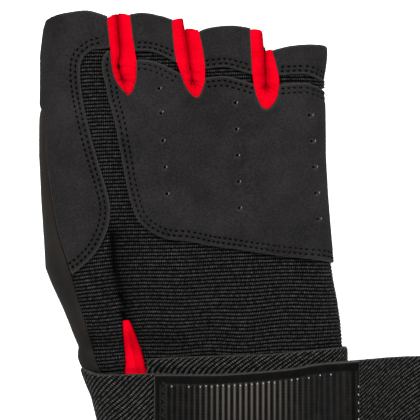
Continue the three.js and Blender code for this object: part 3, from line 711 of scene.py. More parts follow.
def hook_finish():
    made = Finish("hook_plastic", 0.45, specular=0.03)
    place, edge = made.place(), made.mark("edge")
    cloud = made.ramp(made.noise(place, 300), (0.3, 0.003), (0.8, (0.0068, 0.0066, 0.0064)))
    share = made.node("Math")
    share.operation = "MULTIPLY"
    share.inputs[1].default_value = BORDER_SCALE
    made.tree.links.new(edge, share.inputs[0])
    border_shade = made.ramp(share.outputs[0], (0.62, 0.4), (0.74, 1))
    # Painted highlight: rib tops marked by the mesh are blended towards a pale colour.
    lit = made.ramp(made.mark("rib"), (0.0, 0), (0.9, 1))
    body = made.blend(lit, made.times(cloud, border_shade), (0.06, 0.052, 0.046))
    # Paler cut edge: a painted highlight along the edge.
    rim = made.blend(made.ramp(edge, (0.12, 1), (0.45, 0)), body, (0.04, 0.037, 0.034))
    return made.paint(rim, (made.noise(place, 1400, 2), 0.00005))


red_cloth, hook_plastic = red_finish(), hook_finish()
print("finishes:", [m.name for m in bpy.data.materials])

# %% [markdown]
# The pattern pieces follow. Their outlines are short tables in shares of the palm, the same
# ones that the solids were cut with. First come the red gussets, because every front piece
# is cut back round them.

# %% Outlines of the gussets
ABOVE_RIMS = float(plan_y(2.4))
GUSSETS = [
    [(-0.265, 2.014), (-0.254, 1.597), (-0.25, 1.36), (-0.232, 1.12), (-0.19, 0.98),
     (-0.165, 1.1), (-0.16, 1.36), (-0.17, 1.6), (-0.184, 2.05)],
    [(-0.037, 1.98), (-0.026, 1.5), (-0.005, 1.21), (0.018, 1.0), (0.051, 0.97),
     (0.074, 1.06), (0.079, 1.22), (0.073, 1.5), (0.056, 1.84)],
    [(0.237, 1.85), (0.242, 1.42), (0.25, 1.08), (0.271, 0.95), (0.297, 0.93),
     (0.327, 0.965), (0.339, 1.1), (0.331, 1.3), (0.315, 1.57)],
]
gusset_edges = [smooth(rows) for rows in GUSSETS]
gusset_holes = [
    (unroll(np.concatenate([edge, [(edge[-1][0], ABOVE_RIMS), (edge[0][0], ABOVE_RIMS)]])),
     CLEARANCE / 2)
    for edge in gusset_edges
]
print("gussets:", [f"{edge[-1][0] - edge[0][0]:.1f} mm wide" for edge in gusset_edges])

# %% [markdown]
# A leather piece is thickest inside and rounds off at its cut edge. Where it is sewn, two
# rows of stitches pull it down, so two narrow grooves run along the seam. Both come from
# one number, the distance from the edge, which is why the cutter keeps that distance.

# %% Lay a pattern piece on the palm
SEAM_ROWS = (1.75, 3.6)
GROOVE_DEPTH = 0.42
GROOVE_WIDTH = 0.5
EDGE_FALL = 0.55
THINNEST = 0.15


def thinning(points):
    """Leather thins towards the side seam."""
    c = skin_place(points[:, 0])
    roll = np.clip(np.where(c < 0, c + 1, 2 - c), 0, 1)
    return 0.5 + 0.5 * np.sin(roll * math.pi / 2)


def grooves(points, seams, rows):
    """Depth of the grooves that the stitch rows press along the seams."""
    pressed = np.zeros(len(points))
    for seam in seams:
        away = distance_to(seam, points)
        for row in rows:
            pressed = np.maximum(pressed, hump(away - row, GROOVE_WIDTH))
    return GROOVE_DEPTH * pressed


def flat_size(points, faces):
    """Width, length and area of a cut piece before it is laid, in metres."""
    width, length = (points.max(axis=0) - points.min(axis=0)) * MM
    area = 0.0
    for face in faces:
        x, y = points[face].T
        area += 0.5 * abs(np.dot(x, np.roll(y, -1)) - np.dot(y, np.roll(x, -1)))
    return float(width), float(length), float(area) * MM * MM


def lay(name, span, step, depth, frames, low, high, round_edge=0.9, turn=0.0, rib=None):
    """Cut a piece from flat cloth and lay it between two offsets of a surface.

    depth, frames and high are functions of places on the cloth, and low is one too or a
    number. The grid of the cut may be turned, so that its rows run along slanting ribs.
    """
    spin = np.array([[math.cos(turn), -math.sin(turn)], [math.sin(turn), math.cos(turn)]])
    (left, foot), (right, head) = span
    corners = np.array([[x, y] for x in (left, right) for y in (foot, head)]) @ spin
    grid, faces = cut(corners.min(axis=0), corners.max(axis=0), step, lambda p: depth(p @ spin.T))
    points = grid @ spin.T
    value = np.maximum(depth(points), 0)
    fall = 1 - np.sqrt(1 - (1 - np.clip(value / round_edge, 0, 1)) ** 2)
    place, normal = frames(points)
    bottom = low(points) if callable(low) else np.full(len(points), low)
    top = bottom + (high(points, value) - bottom) * (1 - EDGE_FALL * fall)
    top = np.maximum(top, bottom + THINNEST)
    flat_size(points, faces)
    a, b, c = faces[0][:3]
    if np.dot(np.cross(place[b] - place[a], place[c] - place[b]), normal[a]) < 0:
        faces = [face[::-1] for face in faces]
    # The rib mark holds rib heights, or shares of painted shade and painted highlight.
    marks = {"edge": value, "rib": np.ones(len(points)) if rib is None else rib(points)}
    upper, lower = place + normal * top[:, None], place + normal * bottom[:, None]
    return sheet_between(name, upper, lower, faces, points, marks)


def palm_frames(points, half=1):
    """The palm's skin, or the back's, held a little off the side seam."""
    c = skin_place(points[:, 0])
    place, normal = skin_frame(half, c, points[:, 1])
    on_seam = np.abs(c - 0.5) > 1.499
    return place + np.outer(on_seam, (0, 0, half * CLEARANCE / 2)), normal


def lay_piece(name, outline, low, thickness, step, relief, holes=(), seams=(), round_edge=0.9,
              rows=SEAM_ROWS, rib=None):
    """A pattern piece on the palm, cut back round the gussets."""
    path = unroll(outline)
    all_holes = gusset_holes + [(unroll(hole), grow) for hole, grow in holes]

    def depth(points):
        return less_holes(depth_in(path, points), points, all_holes)

    def high(points, value):
        thick = thickness * (thinning(points) if low > 0 else 1.0)
        return low + thick - grooves(points, seams, rows) + relief(points, value)

    (left, foot), (right, head) = path.min(axis=0), path.max(axis=0)
    span = (max(left, LEFT_RIM), foot), (min(right, RIGHT_RIM), head)
    return lay(name, span, step, depth, palm_frames, low, high, round_edge, rib=rib)


def nap(points, amount=0.12, size=17.0, seed=1.0):
    """Slow, soft unevenness of real leather."""
    x, y = points[:, 0] / size, points[:, 1] / size
    return amount * (np.sin(2.1 * x + 1.3 * y + seed) + np.sin(1.1 * x - 2.4 * y + 2 * seed)
                     + 0.5 * np.sin(4.3 * x + 3.1 * y - seed)) / 2.5


# %% [markdown]
# Stitches are real thread: a short rounded capsule for each one, laid along the seam just
# below the leather's top. They share one template, copied by arithmetic into one mesh per
# piece, which is far quicker than hundreds of objects.

# %% Sew stitches along a seam
STITCH_STEP = 2.05
STITCH_LENGTH = 1.15
STITCH_WIDTH = 0.72
STITCH_SINK = 0.6 * GROOVE_DEPTH


def capsule(sides=6, rings=5):
    """A small rounded stitch along X, as points and faces."""
    points = [(-0.5, 0, 0)]
    for r in range(1, rings):
        a = math.pi * r / rings
        radius = 0.5 * math.sin(a) ** 0.6
        for k in range(sides):
            b = 2 * math.pi * k / sides
            points.append((-0.5 * math.cos(a), radius * math.cos(b), radius * math.sin(b)))
    points.append((0.5, 0, 0))
    last = len(points) - 1
    faces = [[0, 1 + (k + 1) % sides, 1 + k] for k in range(sides)]
    for r in range(rings - 2):
        for k in range(sides):
            a, b = 1 + r * sides + k, 1 + r * sides + (k + 1) % sides
            faces.append([a, b, b + sides, a + sides])
    start = 1 + (rings - 2) * sides
    faces += [[start + k, start + (k + 1) % sides, last] for k in range(sides)]
    return np.array(points), faces


def beside(seam, distance):
    """A seam's line moved sideways, to its left."""
    run = unit(np.gradient(seam, axis=0))
    return seam + np.column_stack([-run[:, 1], run[:, 0]]) * distance


def arc_lengths(path):
    return np.concatenate([[0], np.cumsum(np.linalg.norm(np.diff(path, axis=0), axis=1))])


def along_path(path, lengths, at):
    """Points of a path at given lengths along it."""
    return np.column_stack([np.interp(at, lengths, path[:, k]) for k in range(2)])


def even(path, step, reach=0.1):
    """Places along a path at an even step, with the direction at each."""
    lengths = arc_lengths(path)
    count = max(2, int(lengths[-1] / step))
    at = (np.arange(count) + 0.5) * lengths[-1] / count
    ahead, back = along_path(path, lengths, at + reach), along_path(path, lengths, at - reach)
    return along_path(path, lengths, at), ahead - back


def stitch_points(points, runs, top, frames=palm_frames, length=STITCH_LENGTH, width=STITCH_WIDTH):
    """Stitches as points and faces: one capsule at each place, along its run."""
    template, shape = capsule()
    place, normal = frames(points)
    along = unit(frames(points + runs)[0] - place)
    across = np.cross(normal, along)
    centre = place + normal * np.broadcast_to(top, len(points))[:, None]
    body = (template[None, :, :1] * along[:, None] * length
            + template[None, :, 1:2] * across[:, None] * width
            + template[None, :, 2:] * normal[:, None] * width)
    faces = [[v + k * len(template) for v in face] for k in range(len(points)) for face in shape]
    return (centre[:, None] + body).reshape(-1, 3), faces


def sew(name, rows, outline, thickness):
    """One mesh of stitches along rows on the palm, inside the outline of their piece."""
    path = unroll(outline)
    all_points, all_faces, start = [], [], 0
    for row in rows:
        places, runs = even(row, STITCH_STEP)
        held = less_holes(depth_in(path, places), places, gusset_holes) > 0.9
        held &= (places[:, 0] > LEFT_RIM + 1) & (places[:, 0] < RIGHT_RIM - 1)
        if not held.any():
            continue
        height = CLEARANCE + thickness * thinning(places[held]) - STITCH_SINK
        points, faces = stitch_points(places[held], runs[held], height)
        all_points.append(points)
        all_faces += [[v + start for v in face] for face in faces]
        start += len(points)
    return finish_piece(to_object(name, np.concatenate(all_points), all_faces), thread)


# %% [markdown]
# The palm pad is the glove's working surface: thick suede with a pad below. Its left and
# lower edges are sewn down with two rows, it is pierced for air, and it ends in an arch at
# each finger so that the knit can bend there. Its outline needs those of the fingers.

# %% Outlines of fingers and pad
RIMS = {
    "index": [(-0.472, 2.0), (-0.43, 2.056), (-0.346, 2.11), (-0.293, 2.07), (-0.25, 2.0)],
    "middle": [(-0.19, 2.05), (-0.135, 2.074), (-0.075, 2.028), (-0.03, 1.97)],
    "ring": [(0.05, 1.8), (0.097, 1.868), (0.177, 1.897), (0.245, 1.855)],
    "little": [(0.312, 1.55), (0.377, 1.615), (0.46, 1.642), (0.505, 1.62), (0.53, 1.5)],
}
FLEX = {
    "middle": [(-0.18, 1.54), (-0.125, 1.542), (-0.075, 1.486), (-0.01, 1.35)],
    "ring": [(0.06, 1.28), (0.142, 1.319), (0.191, 1.278), (0.255, 1.2)],
    "little": [(0.32, 1.2), (0.398, 1.222), (0.447, 1.208), (0.52, 1.07)],
}
FLEX_GAP = 3.4
PAD_EDGE = [
    (-0.265, 1.555), (-0.281, 1.44), (-0.282, 1.28), (-0.268, 1.05), (-0.258, 0.96),
    (-0.232, 0.86), (-0.212, 0.75), (-0.195, 0.649), (-0.177, 0.568), (-0.153, 0.508),
    (-0.11, 0.466), (-0.054, 0.438), (0.018, 0.43), (0.093, 0.413), (0.191, 0.398),
    (0.332, 0.375), (0.472, 0.358), (0.54, 0.34),
]
HOLE_COLUMNS = [
    ((-0.054, 0.608), (-0.082, 1.02)), ((0.198, 0.555), (0.184, 0.951)),
    ((0.468, 0.513), (0.44, 0.906)),
]
HOLES_PER_COLUMN = 5
HOLE_DIAMETER = 1.2
OUTER_LEFT, OUTER_RIGHT = -0.62 * PALM_WIDTH, 0.66 * PALM_WIDTH


def at(across, along):
    return plan([(across, along)])


def corner_point(x, along):
    return np.array([[x, float(plan_y(along))]])


def circle(centre, radius, count=16):
    a = np.linspace(0, 2 * math.pi, count, endpoint=False)
    return centre + radius * np.column_stack([np.cos(a), np.sin(a)])


pad_edge = smooth(PAD_EDGE)
upper_flex = {finger: smooth(rows) for finger, rows in FLEX.items()}
lower_flex = {finger: rows - (0, FLEX_GAP) for finger, rows in upper_flex.items()}
pad_outline = np.concatenate([
    pad_edge, corner_point(OUTER_RIGHT, 0.34),
    *[lower_flex[finger][::-1] for finger in ("little", "ring", "middle")], at(-0.235, 1.5),
])
perforations = []
for column in HOLE_COLUMNS:
    foot, head = plan(column)
    for k in range(HOLES_PER_COLUMN):
        perforations.append(foot + (head - foot) * k / (HOLES_PER_COLUMN - 1))
hole_places = unroll(np.array(perforations))

print(len(perforations), "perforations, pad outline of", len(pad_outline), "points")

# %% [markdown]
# The pad swells a little between its sewn edges, and dents round each perforation. The
# holes are cut out of the cloth like the outline itself.

# %% Palm pad
PAD_SWELL, SWELL_WIDTH = 0.35, 12
DENT_DEPTH, DENT_WIDTH = 0.4, 1.3


def pad_relief(points, value):
    swell = PAD_SWELL * np.clip(value / SWELL_WIDTH, 0, 1) + nap(points, 0.16)
    for hole in hole_places:
        swell = swell - DENT_DEPTH * hump(np.hypot(*(points - hole).T), DENT_WIDTH)
    return swell


left_seam = unroll(pad_edge)
arch_seams = [unroll(path) for path in lower_flex.values()]
palm_pad = lay_piece(
    "palm_pad_suede", pad_outline, CLEARANCE, PAD_WALL, (0.55, 0.55), pad_relief,
    holes=[(circle(place, HOLE_DIAMETER / 2), 0) for place in perforations],
    seams=[left_seam, *arch_seams],
)
finish_piece(palm_pad, suede, ["palm_pad"])

# %% [markdown]
# The index panel is one long piece of suede: the front of the index finger and the palm
# below it. Its inner edge is sewn over the knit with two rows, and a valley runs along the
# thumb's seam. The three other finger fronts are short caps above the flex gaps.

# %% Index panel and finger fronts
INDEX_INNER = [
    (-0.318, 1.563), (-0.353, 1.43), (-0.36, 1.2), (-0.35, 0.96), (-0.328, 0.86),
    (-0.296, 0.735), (-0.268, 0.637), (-0.252, 0.56), (-0.26, 0.48), (-0.296, 0.398),
    (-0.338, 0.347), (-0.388, 0.302),
]
THUMB_SEAM = [
    (-0.52, 0.95), (-0.481, 0.9), (-0.478, 0.78), (-0.465, 0.66), (-0.45, 0.56),
    (-0.43, 0.45), (-0.388, 0.302), (-0.363, 0.208), (-0.338, 0.125), (-0.32, 0.05),
    (-0.305, -0.03), (-0.29, -0.1), (-0.276, -0.16),
]
inner_edge, thumb_seam = smooth(INDEX_INNER), smooth(THUMB_SEAM)
upper_seam = smooth(THUMB_SEAM[:7])
index_outline = np.concatenate([
    corner_point(OUTER_LEFT, 2.0), smooth(RIMS["index"]), at(-0.235, 1.66), at(-0.262, 1.585),
    inner_edge, upper_seam[::-1][1:], corner_point(OUTER_LEFT, 0.95),
])
index_seam = unroll(np.concatenate([at(-0.285, 1.6), inner_edge]))
thumb_outline = np.concatenate([
    thumb_seam, corner_point(OUTER_LEFT, -0.16), corner_point(OUTER_LEFT, 0.95),
])
THUMB_VALLEY = 0.55
VALLEY_WIDTH = 1.3


def index_relief(points, value):
    away = distance_to(unroll(upper_seam), points)
    return nap(points, 0.14, 14, 2.0) - THUMB_VALLEY * hump(away, VALLEY_WIDTH)


index_panel = lay_piece(
    "index_panel_suede", index_outline, CLEARANCE, LEATHER_WALL, (0.6, 0.6), index_relief,
    holes=[(thumb_outline, CLEARANCE)], seams=[index_seam],
)
finish_piece(index_panel, suede, ["index_panel"])

FRONT_ROWS = (1.3, 3.0)
front_outlines = {
    finger: np.concatenate([smooth(RIMS[finger]), upper_flex[finger][::-1]]) for finger in FLEX
}
for seed, (finger, outline) in enumerate(front_outlines.items(), 3):
    front = lay_piece(
        f"{finger}_front_suede", outline, CLEARANCE, LEATHER_WALL, (0.5, 0.5),
        lambda points, value, seed=seed: nap(points, 0.1, 10, float(seed)),
        seams=[unroll(upper_flex[finger])], rows=FRONT_ROWS,
    )
    finish_piece(front, suede, [f"{finger}_finger_front"])

# %% [markdown]
# Below the pad lies the knit, which shows in the strip beside the index panel, in the lower
# palm and in the flex gaps. Its ribs are pressed into the mesh: a rounded wave along the
# hand, with valleys narrower than the ribs. The ribs sag where the cloth is slack, and
# left of the fold they climb to it.

# %% Ribs of the palm knit
RIB_PITCH = 1.36
RIB_DEPTH = 0.42
RIB_CLIMB = 0.17
CLIMB_SOFTNESS = 3.0
CLIMB_LINE = unroll(smooth([
    (-0.36, 1.4), (-0.3, 0.8), (-0.247, 0.385), (-0.23, 0.25), (-0.209, 0.136), (-0.2, 0),
], 6))


def rib_phase(points):
    """Ribs counted along the hand."""
    s, y = points.T
    left_of = np.interp(y, CLIMB_LINE[::-1, 1], CLIMB_LINE[::-1, 0]) - s
    climb = CLIMB_SOFTNESS * np.log1p(np.exp(np.clip(left_of / CLIMB_SOFTNESS, -30, 30)))
    sag = 0.9 * np.sin(s / 23 + 0.6)
    wavy = 0.35 * np.sin(s / 8.5 + y / 17) + 0.25 * np.sin(s / 4.3 - y / 11 + 1)
    return (y + RIB_CLIMB * climb + sag + wavy * ease(y, 45, 5)) / RIB_PITCH


def rib_height(points):
    return np.abs(np.sin(math.pi * rib_phase(points))) ** 0.7


# %% [markdown]
# A fold runs down the knit to the wrist vent. The cloth to its right dips, and painted shade
# darkens it; the cloth to its left stands up a little. At the little finger's side the knit
# bulges out between the front and the pad.

# %% Palm knit
SEAM_ALLOWANCE = 4.0
KNIT_FOLD = [
    (-0.2509, 0.449), (-0.2491, 0.366), (-0.2404, 0.29), (-0.2235, 0.2377),
    (-0.2119, 0.1585), (-0.207, 0.1245),
]
SIDE_BULGE = 1.4
VENT = [
    (-0.209, 0.13), (-0.186, 0.13), (-0.167, 0.08), (-0.146, 0.015), (-0.13, -0.08),
    (-0.12, -0.16), (-0.197, -0.16), (-0.2, -0.06), (-0.2045, 0.04),
]


def right_of(line, points):
    """Distance to a line that runs up the palm, and whether a point lies to its right."""
    path = unroll(smooth(line, 8))
    order = np.argsort(path[:, 1])
    right = points[:, 0] > np.interp(points[:, 1], path[order, 1], path[order, 0])
    return distance_to(path, points), right


def knit_ribs_and_painted_shade(points):
    """The ribs' height, lowered along the fold as painted shade, most to its right."""
    away, right = right_of(KNIT_FOLD, points)
    # Painted shade along the fold: wide to its right, a thin line to its left.
    shade = np.where(right, 0.55 * np.exp(-away / 3.2), 0.4 * np.exp(-away / 0.4))
    return rib_height(points) * (1 - shade)


def rib_relief(points, value):
    above = points[:, 1] - float(plan_y(FLEX["little"][-1][1]))
    at_side = ease(points[:, 0], CLOTH_WIDTH, RIGHT_RIM)
    bulge = SIDE_BULGE * at_side * ease(above, -1.3, -0.4) * ease(above, 2.8, 2.0)
    away, right = right_of(KNIT_FOLD, points)
    fold = np.where(right, -0.5 * hump(away, 1.8), 0.2 * hump(away, 2.0))
    return RIB_DEPTH * (rib_height(points) - 0.85) + nap(points, 0.12, 12, 6.0) + bulge + fold


vent_outline = smooth(VENT, 6)
knit_outline = np.concatenate([
    *[rows + (0, SEAM_ALLOWANCE) for rows in upper_flex.values()],
    corner_point(OUTER_RIGHT, 1.05), corner_point(OUTER_RIGHT, -0.2), at(-0.31, -0.2),
    smooth(THUMB_SEAM[6:])[::-1] - (SEAM_ALLOWANCE, 0),
    (inner_edge - (SEAM_ALLOWANCE, 0))[::-1][6:], at(-0.34, 1.68), at(-0.24, 1.66),
])
palm_knit = lay_piece(
    "palm_rib_knit", knit_outline, -KNIT_WALL, KNIT_WALL, (1.8, 0.227), rib_relief,
    holes=[(vent_outline, 0.15)], round_edge=0.5, rib=knit_ribs_and_painted_shade,
)
finish_piece(palm_knit, rib_knit, ["palm_knit"])

# %% [markdown]
# The wrist vent is a small red wedge let into the knit. It lies in a soft fold: a valley
# down its middle with a puffed lobe on either side. The lobe to the right leans away from
# the light, and painted shade makes it darker.

# %% Wrist vent
VENT_FOLD = [(-0.196, 0.14), (-0.186, 0.05), (-0.17, -0.06), (-0.163, -0.16)]
VENT_PUFF = 0.75
VENT_VALLEY = 0.4


def vent_relief(points, value):
    away, _ = right_of(VENT_FOLD, points)
    return VENT_PUFF * np.clip(value / 1.6, 0, 1) - VENT_VALLEY * hump(away, 0.8)


# Painted shade over the right lobe, beside the fold; the left lobe keeps full colour.
def vent_painted_shade(points):
    away, right = right_of(VENT_FOLD, points)
    return np.where(right, 1 - 0.6 * ease(away, 0, 0.9), 1)


wrist_vent = lay_piece(
    "wrist_vent_cloth", vent_outline, -0.8, 1.1, (0.35, 0.35), vent_relief, round_edge=0.6,
    rib=vent_painted_shade,
)
finish_piece(wrist_vent, red_cloth, ["wrist_vent"])

# %% [markdown]
# Each gusset is a strip of red cloth between two fingers. It stands on the back of the
# glove beside the slit, and rolls over to its edge on either finger, so that from above
# there are two soft lobes which touch, with a dark line of shade where they meet. Its rows
# are worked out one by one: some stand up from the foot, the rest roll over.

# %% The rows of a gusset
VALLEY_DEPTH = 1.3
SLIT_HALF = 0.02
SLIT_LEAN = [(0.8, -0.5), (-1.1, -0.6), (-1.1, -0.6)]    # of the foot and of the knee
KNEE_BEND = (1.2, 0.0, 0.0)
SLIT_OPENS = (0.5, 0.15, 0.15)
RIM_DOME = 0.7
RIM_LIFTS = [(1.1, 0.0), (0.0, 0.0), (-1.3, -1.8)]    # of the left and of the right lobe
STANDING, ROLLING = 6, 22


def gusset_cloth(which):
    """Points of a gusset from its foot to its edge, one column for each place along the edge."""
    edge = gusset_edges[which][::-1]
    lengths = arc_lengths(edge)
    along = np.linspace(0, lengths[-1], int(lengths[-1] / 0.5))
    outer = along_path(edge, lengths, along)
    end = plan(CREASES[which])[1]
    away = outer - end
    on_side = np.sign(away[:, 0])
    slit_side = np.column_stack([crease(which, outer[:, 1]) + on_side * SLIT_HALF, outer[:, 1]])
    inner = np.where(away[:, 1:] > 0, slit_side, end + unit(away) * SLIT_HALF)
    above = away[:, 1]
    bent = inner - np.outer(hump(above - 5.0, 3.5), (KNEE_BEND[which], 0))
    open_spots = hump(above - 5.0, 0.9) + hump(above - 0.3, 0.9)
    bent = bent + np.outer(on_side * open_spots, (SLIT_OPENS[which], 0))
    from_top = lengths[-1] / 2 - np.abs(along - lengths[-1] / 2)
    at_rim = 1 - ease(from_top, 0, 5.0)
    lift = np.where(away[:, 0] < 0, *RIM_LIFTS[which])
    shoulder = palm_top(*outer.T) + CLEARANCE + 0.7 * LEATHER_WALL
    foot = back_lift(*inner.T) + BACK_WALL + CLEARANCE
    knee = shoulder - VALLEY_DEPTH - 0.3
    rows = []
    for j in range(STANDING + ROLLING + 1):
        share = 1 - math.cos(max(0, (j - STANDING) / ROLLING) * math.pi / 2)
        up = min(j / STANDING, 1)
        level = foot + (knee - foot) * up
        if j > STANDING:
            level = shoulder - VALLEY_DEPTH * (1 - float(ease(share, 0, 0.85)))
        place = (inner * (1 - up) + bent * up) * (1 - share) + outer * share
        lean = (SLIT_LEAN[which][0] * (1 - up) + SLIT_LEAN[which][1] * up) * (1 - share)
        dome = RIM_DOME * (math.sin(math.pi * share ** 0.5) - 0.35) * at_rim
        dome = dome + lift * (1 - share) ** 1.5 * at_rim
        rows.append(np.column_stack([place[:, 0] + lean, place[:, 1] + dome, level]))
    return np.array(rows), along, above


# %% [markdown]
# The rows become a sheet with its thickness. Small puckers near the crotch show that the
# strip turns a tight corner there. The cloth down in the valley is marked for painted shade,
# where the finish is darker.

# %% Finger gussets
GUSSET_DROP = 20.0    # cloth from the foot to the edge
LIT_WIDTH = 2.0


def grid_sheet(name, grid, low, high, uv, marks):
    """A closed sheet between two offsets of a whole grid of points."""
    rows, columns = grid.shape[:2]
    normal = unit(np.cross(np.gradient(grid, axis=1), np.gradient(grid, axis=0)))
    index = np.arange(rows * columns).reshape(rows, columns)
    faces = np.stack([index[:-1, :-1], index[:-1, 1:], index[1:, 1:], index[1:, :-1]], axis=-1)
    faces = faces.reshape(-1, 4).tolist()
    upper = (grid + normal * high[..., None]).reshape(-1, 3)
    lower = (grid + normal * low).reshape(-1, 3)
    flat_size(uv, faces)
    return sheet_between(name, upper, lower, faces, uv, marks)


for which in range(3):
    grid, along, above = gusset_cloth(which)
    down = np.arange(len(grid))[:, None] / (len(grid) - 1)
    bulge = np.sin(np.clip((down - 0.3) / 0.7, 0, 1) * math.pi) ** 0.8
    puckers = (0.3 * hump(above, 8.0) * np.sin(along * 2.1) + 0.12 * np.sin(along * 0.9 + which)
               + 0.08 * np.sin(along * 3.7))
    uv = np.stack(np.broadcast_arrays(along[None, :], down * GUSSET_DROP), axis=-1)
    rolled = np.clip((down * (STANDING + ROLLING) - STANDING) / ROLLING, 0, 1)
    width = np.linalg.norm(grid[-1, :, :2] - grid[STANDING, :, :2], axis=1)
    # Painted shade: low in the valley between the two lobes, full light a little way out.
    lit = np.clip((1 - np.cos(rolled * math.pi / 2)) * width / LIT_WIDTH, 0, 1).reshape(-1)
    gusset = grid_sheet(
        f"finger_gusset_{which + 1}_cloth", grid, -GUSSET_WALL, (0.42 + puckers) * bulge,
        uv.reshape(-1, 2), {"rib": lit},
    )
    finish_piece(gusset, red_cloth, [f"finger_gusset_{which + 1}"])

# %% [markdown]
# The back of the glove is one panel of plain knit, slit between the fingers, with a round
# doorway that leads to the thumb. From the front only its rim is seen.

# %% Back panel
THUMB_DOOR = 20.0
THUMB_DOOR_Y = THUMB_FOOT + 0.7 * THUMB_DOOR
SLIT_CUT = 0.25
back_outline = unroll(np.concatenate([
    corner_point(OUTER_LEFT, 2.0), *[smooth(rows) for rows in RIMS.values()],
    corner_point(OUTER_RIGHT, 1.5), corner_point(OUTER_RIGHT, -0.2), corner_point(OUTER_LEFT, -0.2),
]))
door = unroll(circle(np.array([THUMB_X, THUMB_DOOR_Y]), THUMB_DOOR / 2, 40))
back_holes = [(door, 0.0), (unroll(thumb_outline), CLEARANCE)]
for which, rows in enumerate(CREASES):
    end_x, end_y = plan(rows)[1]
    top_x = crease(which, ABOVE_RIMS)
    back_holes.append((unroll(np.array([
        (end_x + SLIT_CUT, end_y), (top_x + SLIT_CUT, ABOVE_RIMS),
        (top_x - SLIT_CUT, ABOVE_RIMS), (end_x - SLIT_CUT, end_y),
    ])), 0.0))

back_panel = lay(
    "back_panel_knit", ((LEFT_RIM, -12), (RIGHT_RIM, float(plan_y(2.12)))), (1.3, 1.3),
    lambda points: less_holes(depth_in(back_outline, points), points, back_holes),
    lambda points: palm_frames(points, -1), -BACK_WALL,
    lambda points, value: nap(points, 0.06, 15, 8.0) - 0.06, 0.5,
)
finish_piece(back_panel, back_knit, ["back_panel"])

# %% [markdown]
# The thumb side is one strip of smooth leather that rolls round the edge of the hand from
# the palm to the back. Its cloth is measured from the side seam: the palm's part is
# positive, the back's part negative. On the back it lies inside, on the palm outside.

# %% Thumb panel
def wrap_place(s, across=CLOTH_WIDTH):
    """Half of the skin and place on it, for a distance from the left seam."""
    along = np.abs(s)
    place = np.where(along < ROLL_ARC, along / ROLL_ARC - 1, (along - ROLL_ARC) / across)
    return np.where(s < 0, -1, 1), place


def wrap_frames(points):
    half, c = wrap_place(points[:, 0])
    return both_halves(c, half, points[:, 1])


def wrap_share(points):
    """0 on the back, where the leather lies inside, to 1 on the palm, where it lies outside."""
    return np.clip(1 + 1.5 * points[:, 0] / ROLL_ARC, 0, 1)


def wrap_high(points, value):
    roll = np.clip(np.abs(points[:, 0]) / ROLL_ARC, 0, 1)
    top = CLEARANCE + LEATHER_WALL * (0.5 + 0.5 * np.sin(roll * math.pi / 2))
    valley = THUMB_VALLEY * hump(value, VALLEY_WIDTH)
    return wrap_share(points) * top + nap(points, 0.1, 9, 7.0) - valley


def wrap_depth(points):
    place, _ = wrap_frames(points)
    from_end = points[:, 0] + ROLL_ARC + 0.25 * CLOTH_WIDTH
    return np.minimum(depth_in(thumb_outline, place[:, :2]), from_end)


thumb_panel = lay(
    "thumb_panel_leather", ((-ROLL_ARC - 24, -10), (ROLL_ARC + 28, float(plan_y(0.95)))),
    (0.7, 0.7), wrap_depth, wrap_frames,
    lambda points: -BACK_WALL + (CLEARANCE + BACK_WALL) * wrap_share(points), wrap_high,
)
finish_piece(thumb_panel, smooth_leather, ["thumb_panel"])

# %% [markdown]
# The thumb is a flattened sock of the same leather. It lies below the hand with its tip
# open, and its heel opens into the hand through the doorway.

# %% Thumb sleeve
THUMB_STATIONS = [(0.0, 0.45), (0.07, 0.72), (0.18, 0.9), (0.4, 1.0), (0.75, 0.97), (1.0, 0.92)]
THUMB_GIRTH = 70.0
TURNS, SHARES, HEEL_SHARES = 72, 60, 12


def squared(value):
    """A sine or cosine made squarer, for the round of a flattened tube."""
    return np.sign(value) * np.sqrt(np.abs(value))


def thumb_skin(turns, shares, inset):
    """Points of the thumb's skin; turns is 0 to 1 round it."""
    width = np.interp(shares, *spline(np.array(THUMB_STATIONS), 8).T)
    closing = np.sqrt(np.clip(shares / 0.03, 0.002, 1))
    half = (width * THUMB_WIDTH / 2 - inset) * closing
    height = (THUMB_HEIGHT - 2 * inset) * (0.55 + 0.45 * ease(shares, 0, 0.12)) * closing
    angle = 2 * math.pi * turns
    x = THUMB_X + half * squared(np.cos(angle))
    y = THUMB_FOOT + inset * (1 - shares) + shares * THUMB_LENGTH
    z = THUMB_HEIGHT / 2 + height / 2 * squared(np.sin(angle))
    return np.stack(np.broadcast_arrays(x, y, z), axis=-1).reshape(-1, 3)


turns = ((np.arange(TURNS) + 0.5) / TURNS)[None, :]
shares = np.concatenate([
    np.linspace(0, 0.06, HEEL_SHARES, endpoint=False), np.linspace(0.06, 1, SHARES - HEEL_SHARES),
])[:, None]
outer, inner = thumb_skin(turns, shares, 0.0), thumb_skin(turns, shares, THUMB_WALL)
index = np.arange(SHARES * TURNS).reshape(SHARES, TURNS)
wrapped = np.roll(index, -1, axis=1)
faces = np.stack([index[:-1], index[1:], wrapped[1:], wrapped[:-1]], axis=-1).reshape(-1, 4)
x, y, z = outer[faces].mean(axis=1).T
from_door = np.hypot(x - THUMB_X, y - THUMB_DOOR_Y)
kept = (from_door >= THUMB_DOOR / 2) | (z <= THUMB_HEIGHT / 2)
used, faces = compact(faces[kept].tolist() + [index[0].tolist()])
uv = np.stack(np.broadcast_arrays(turns * THUMB_GIRTH, shares * THUMB_LENGTH), axis=-1)
thumb_sleeve = sheet_between(
    "thumb_sleeve_leather", outer[used], inner[used], faces, uv.reshape(-1, 2)[used],
)
finish_piece(thumb_sleeve, smooth_leather, ["thumb_sleeve"])

# %% [markdown]
# The cuff is an elastic ring below the wrist seam. Its twill ribs slant, so its grid of
# cloth is turned to lie along them: fine across each rib, coarse along it.

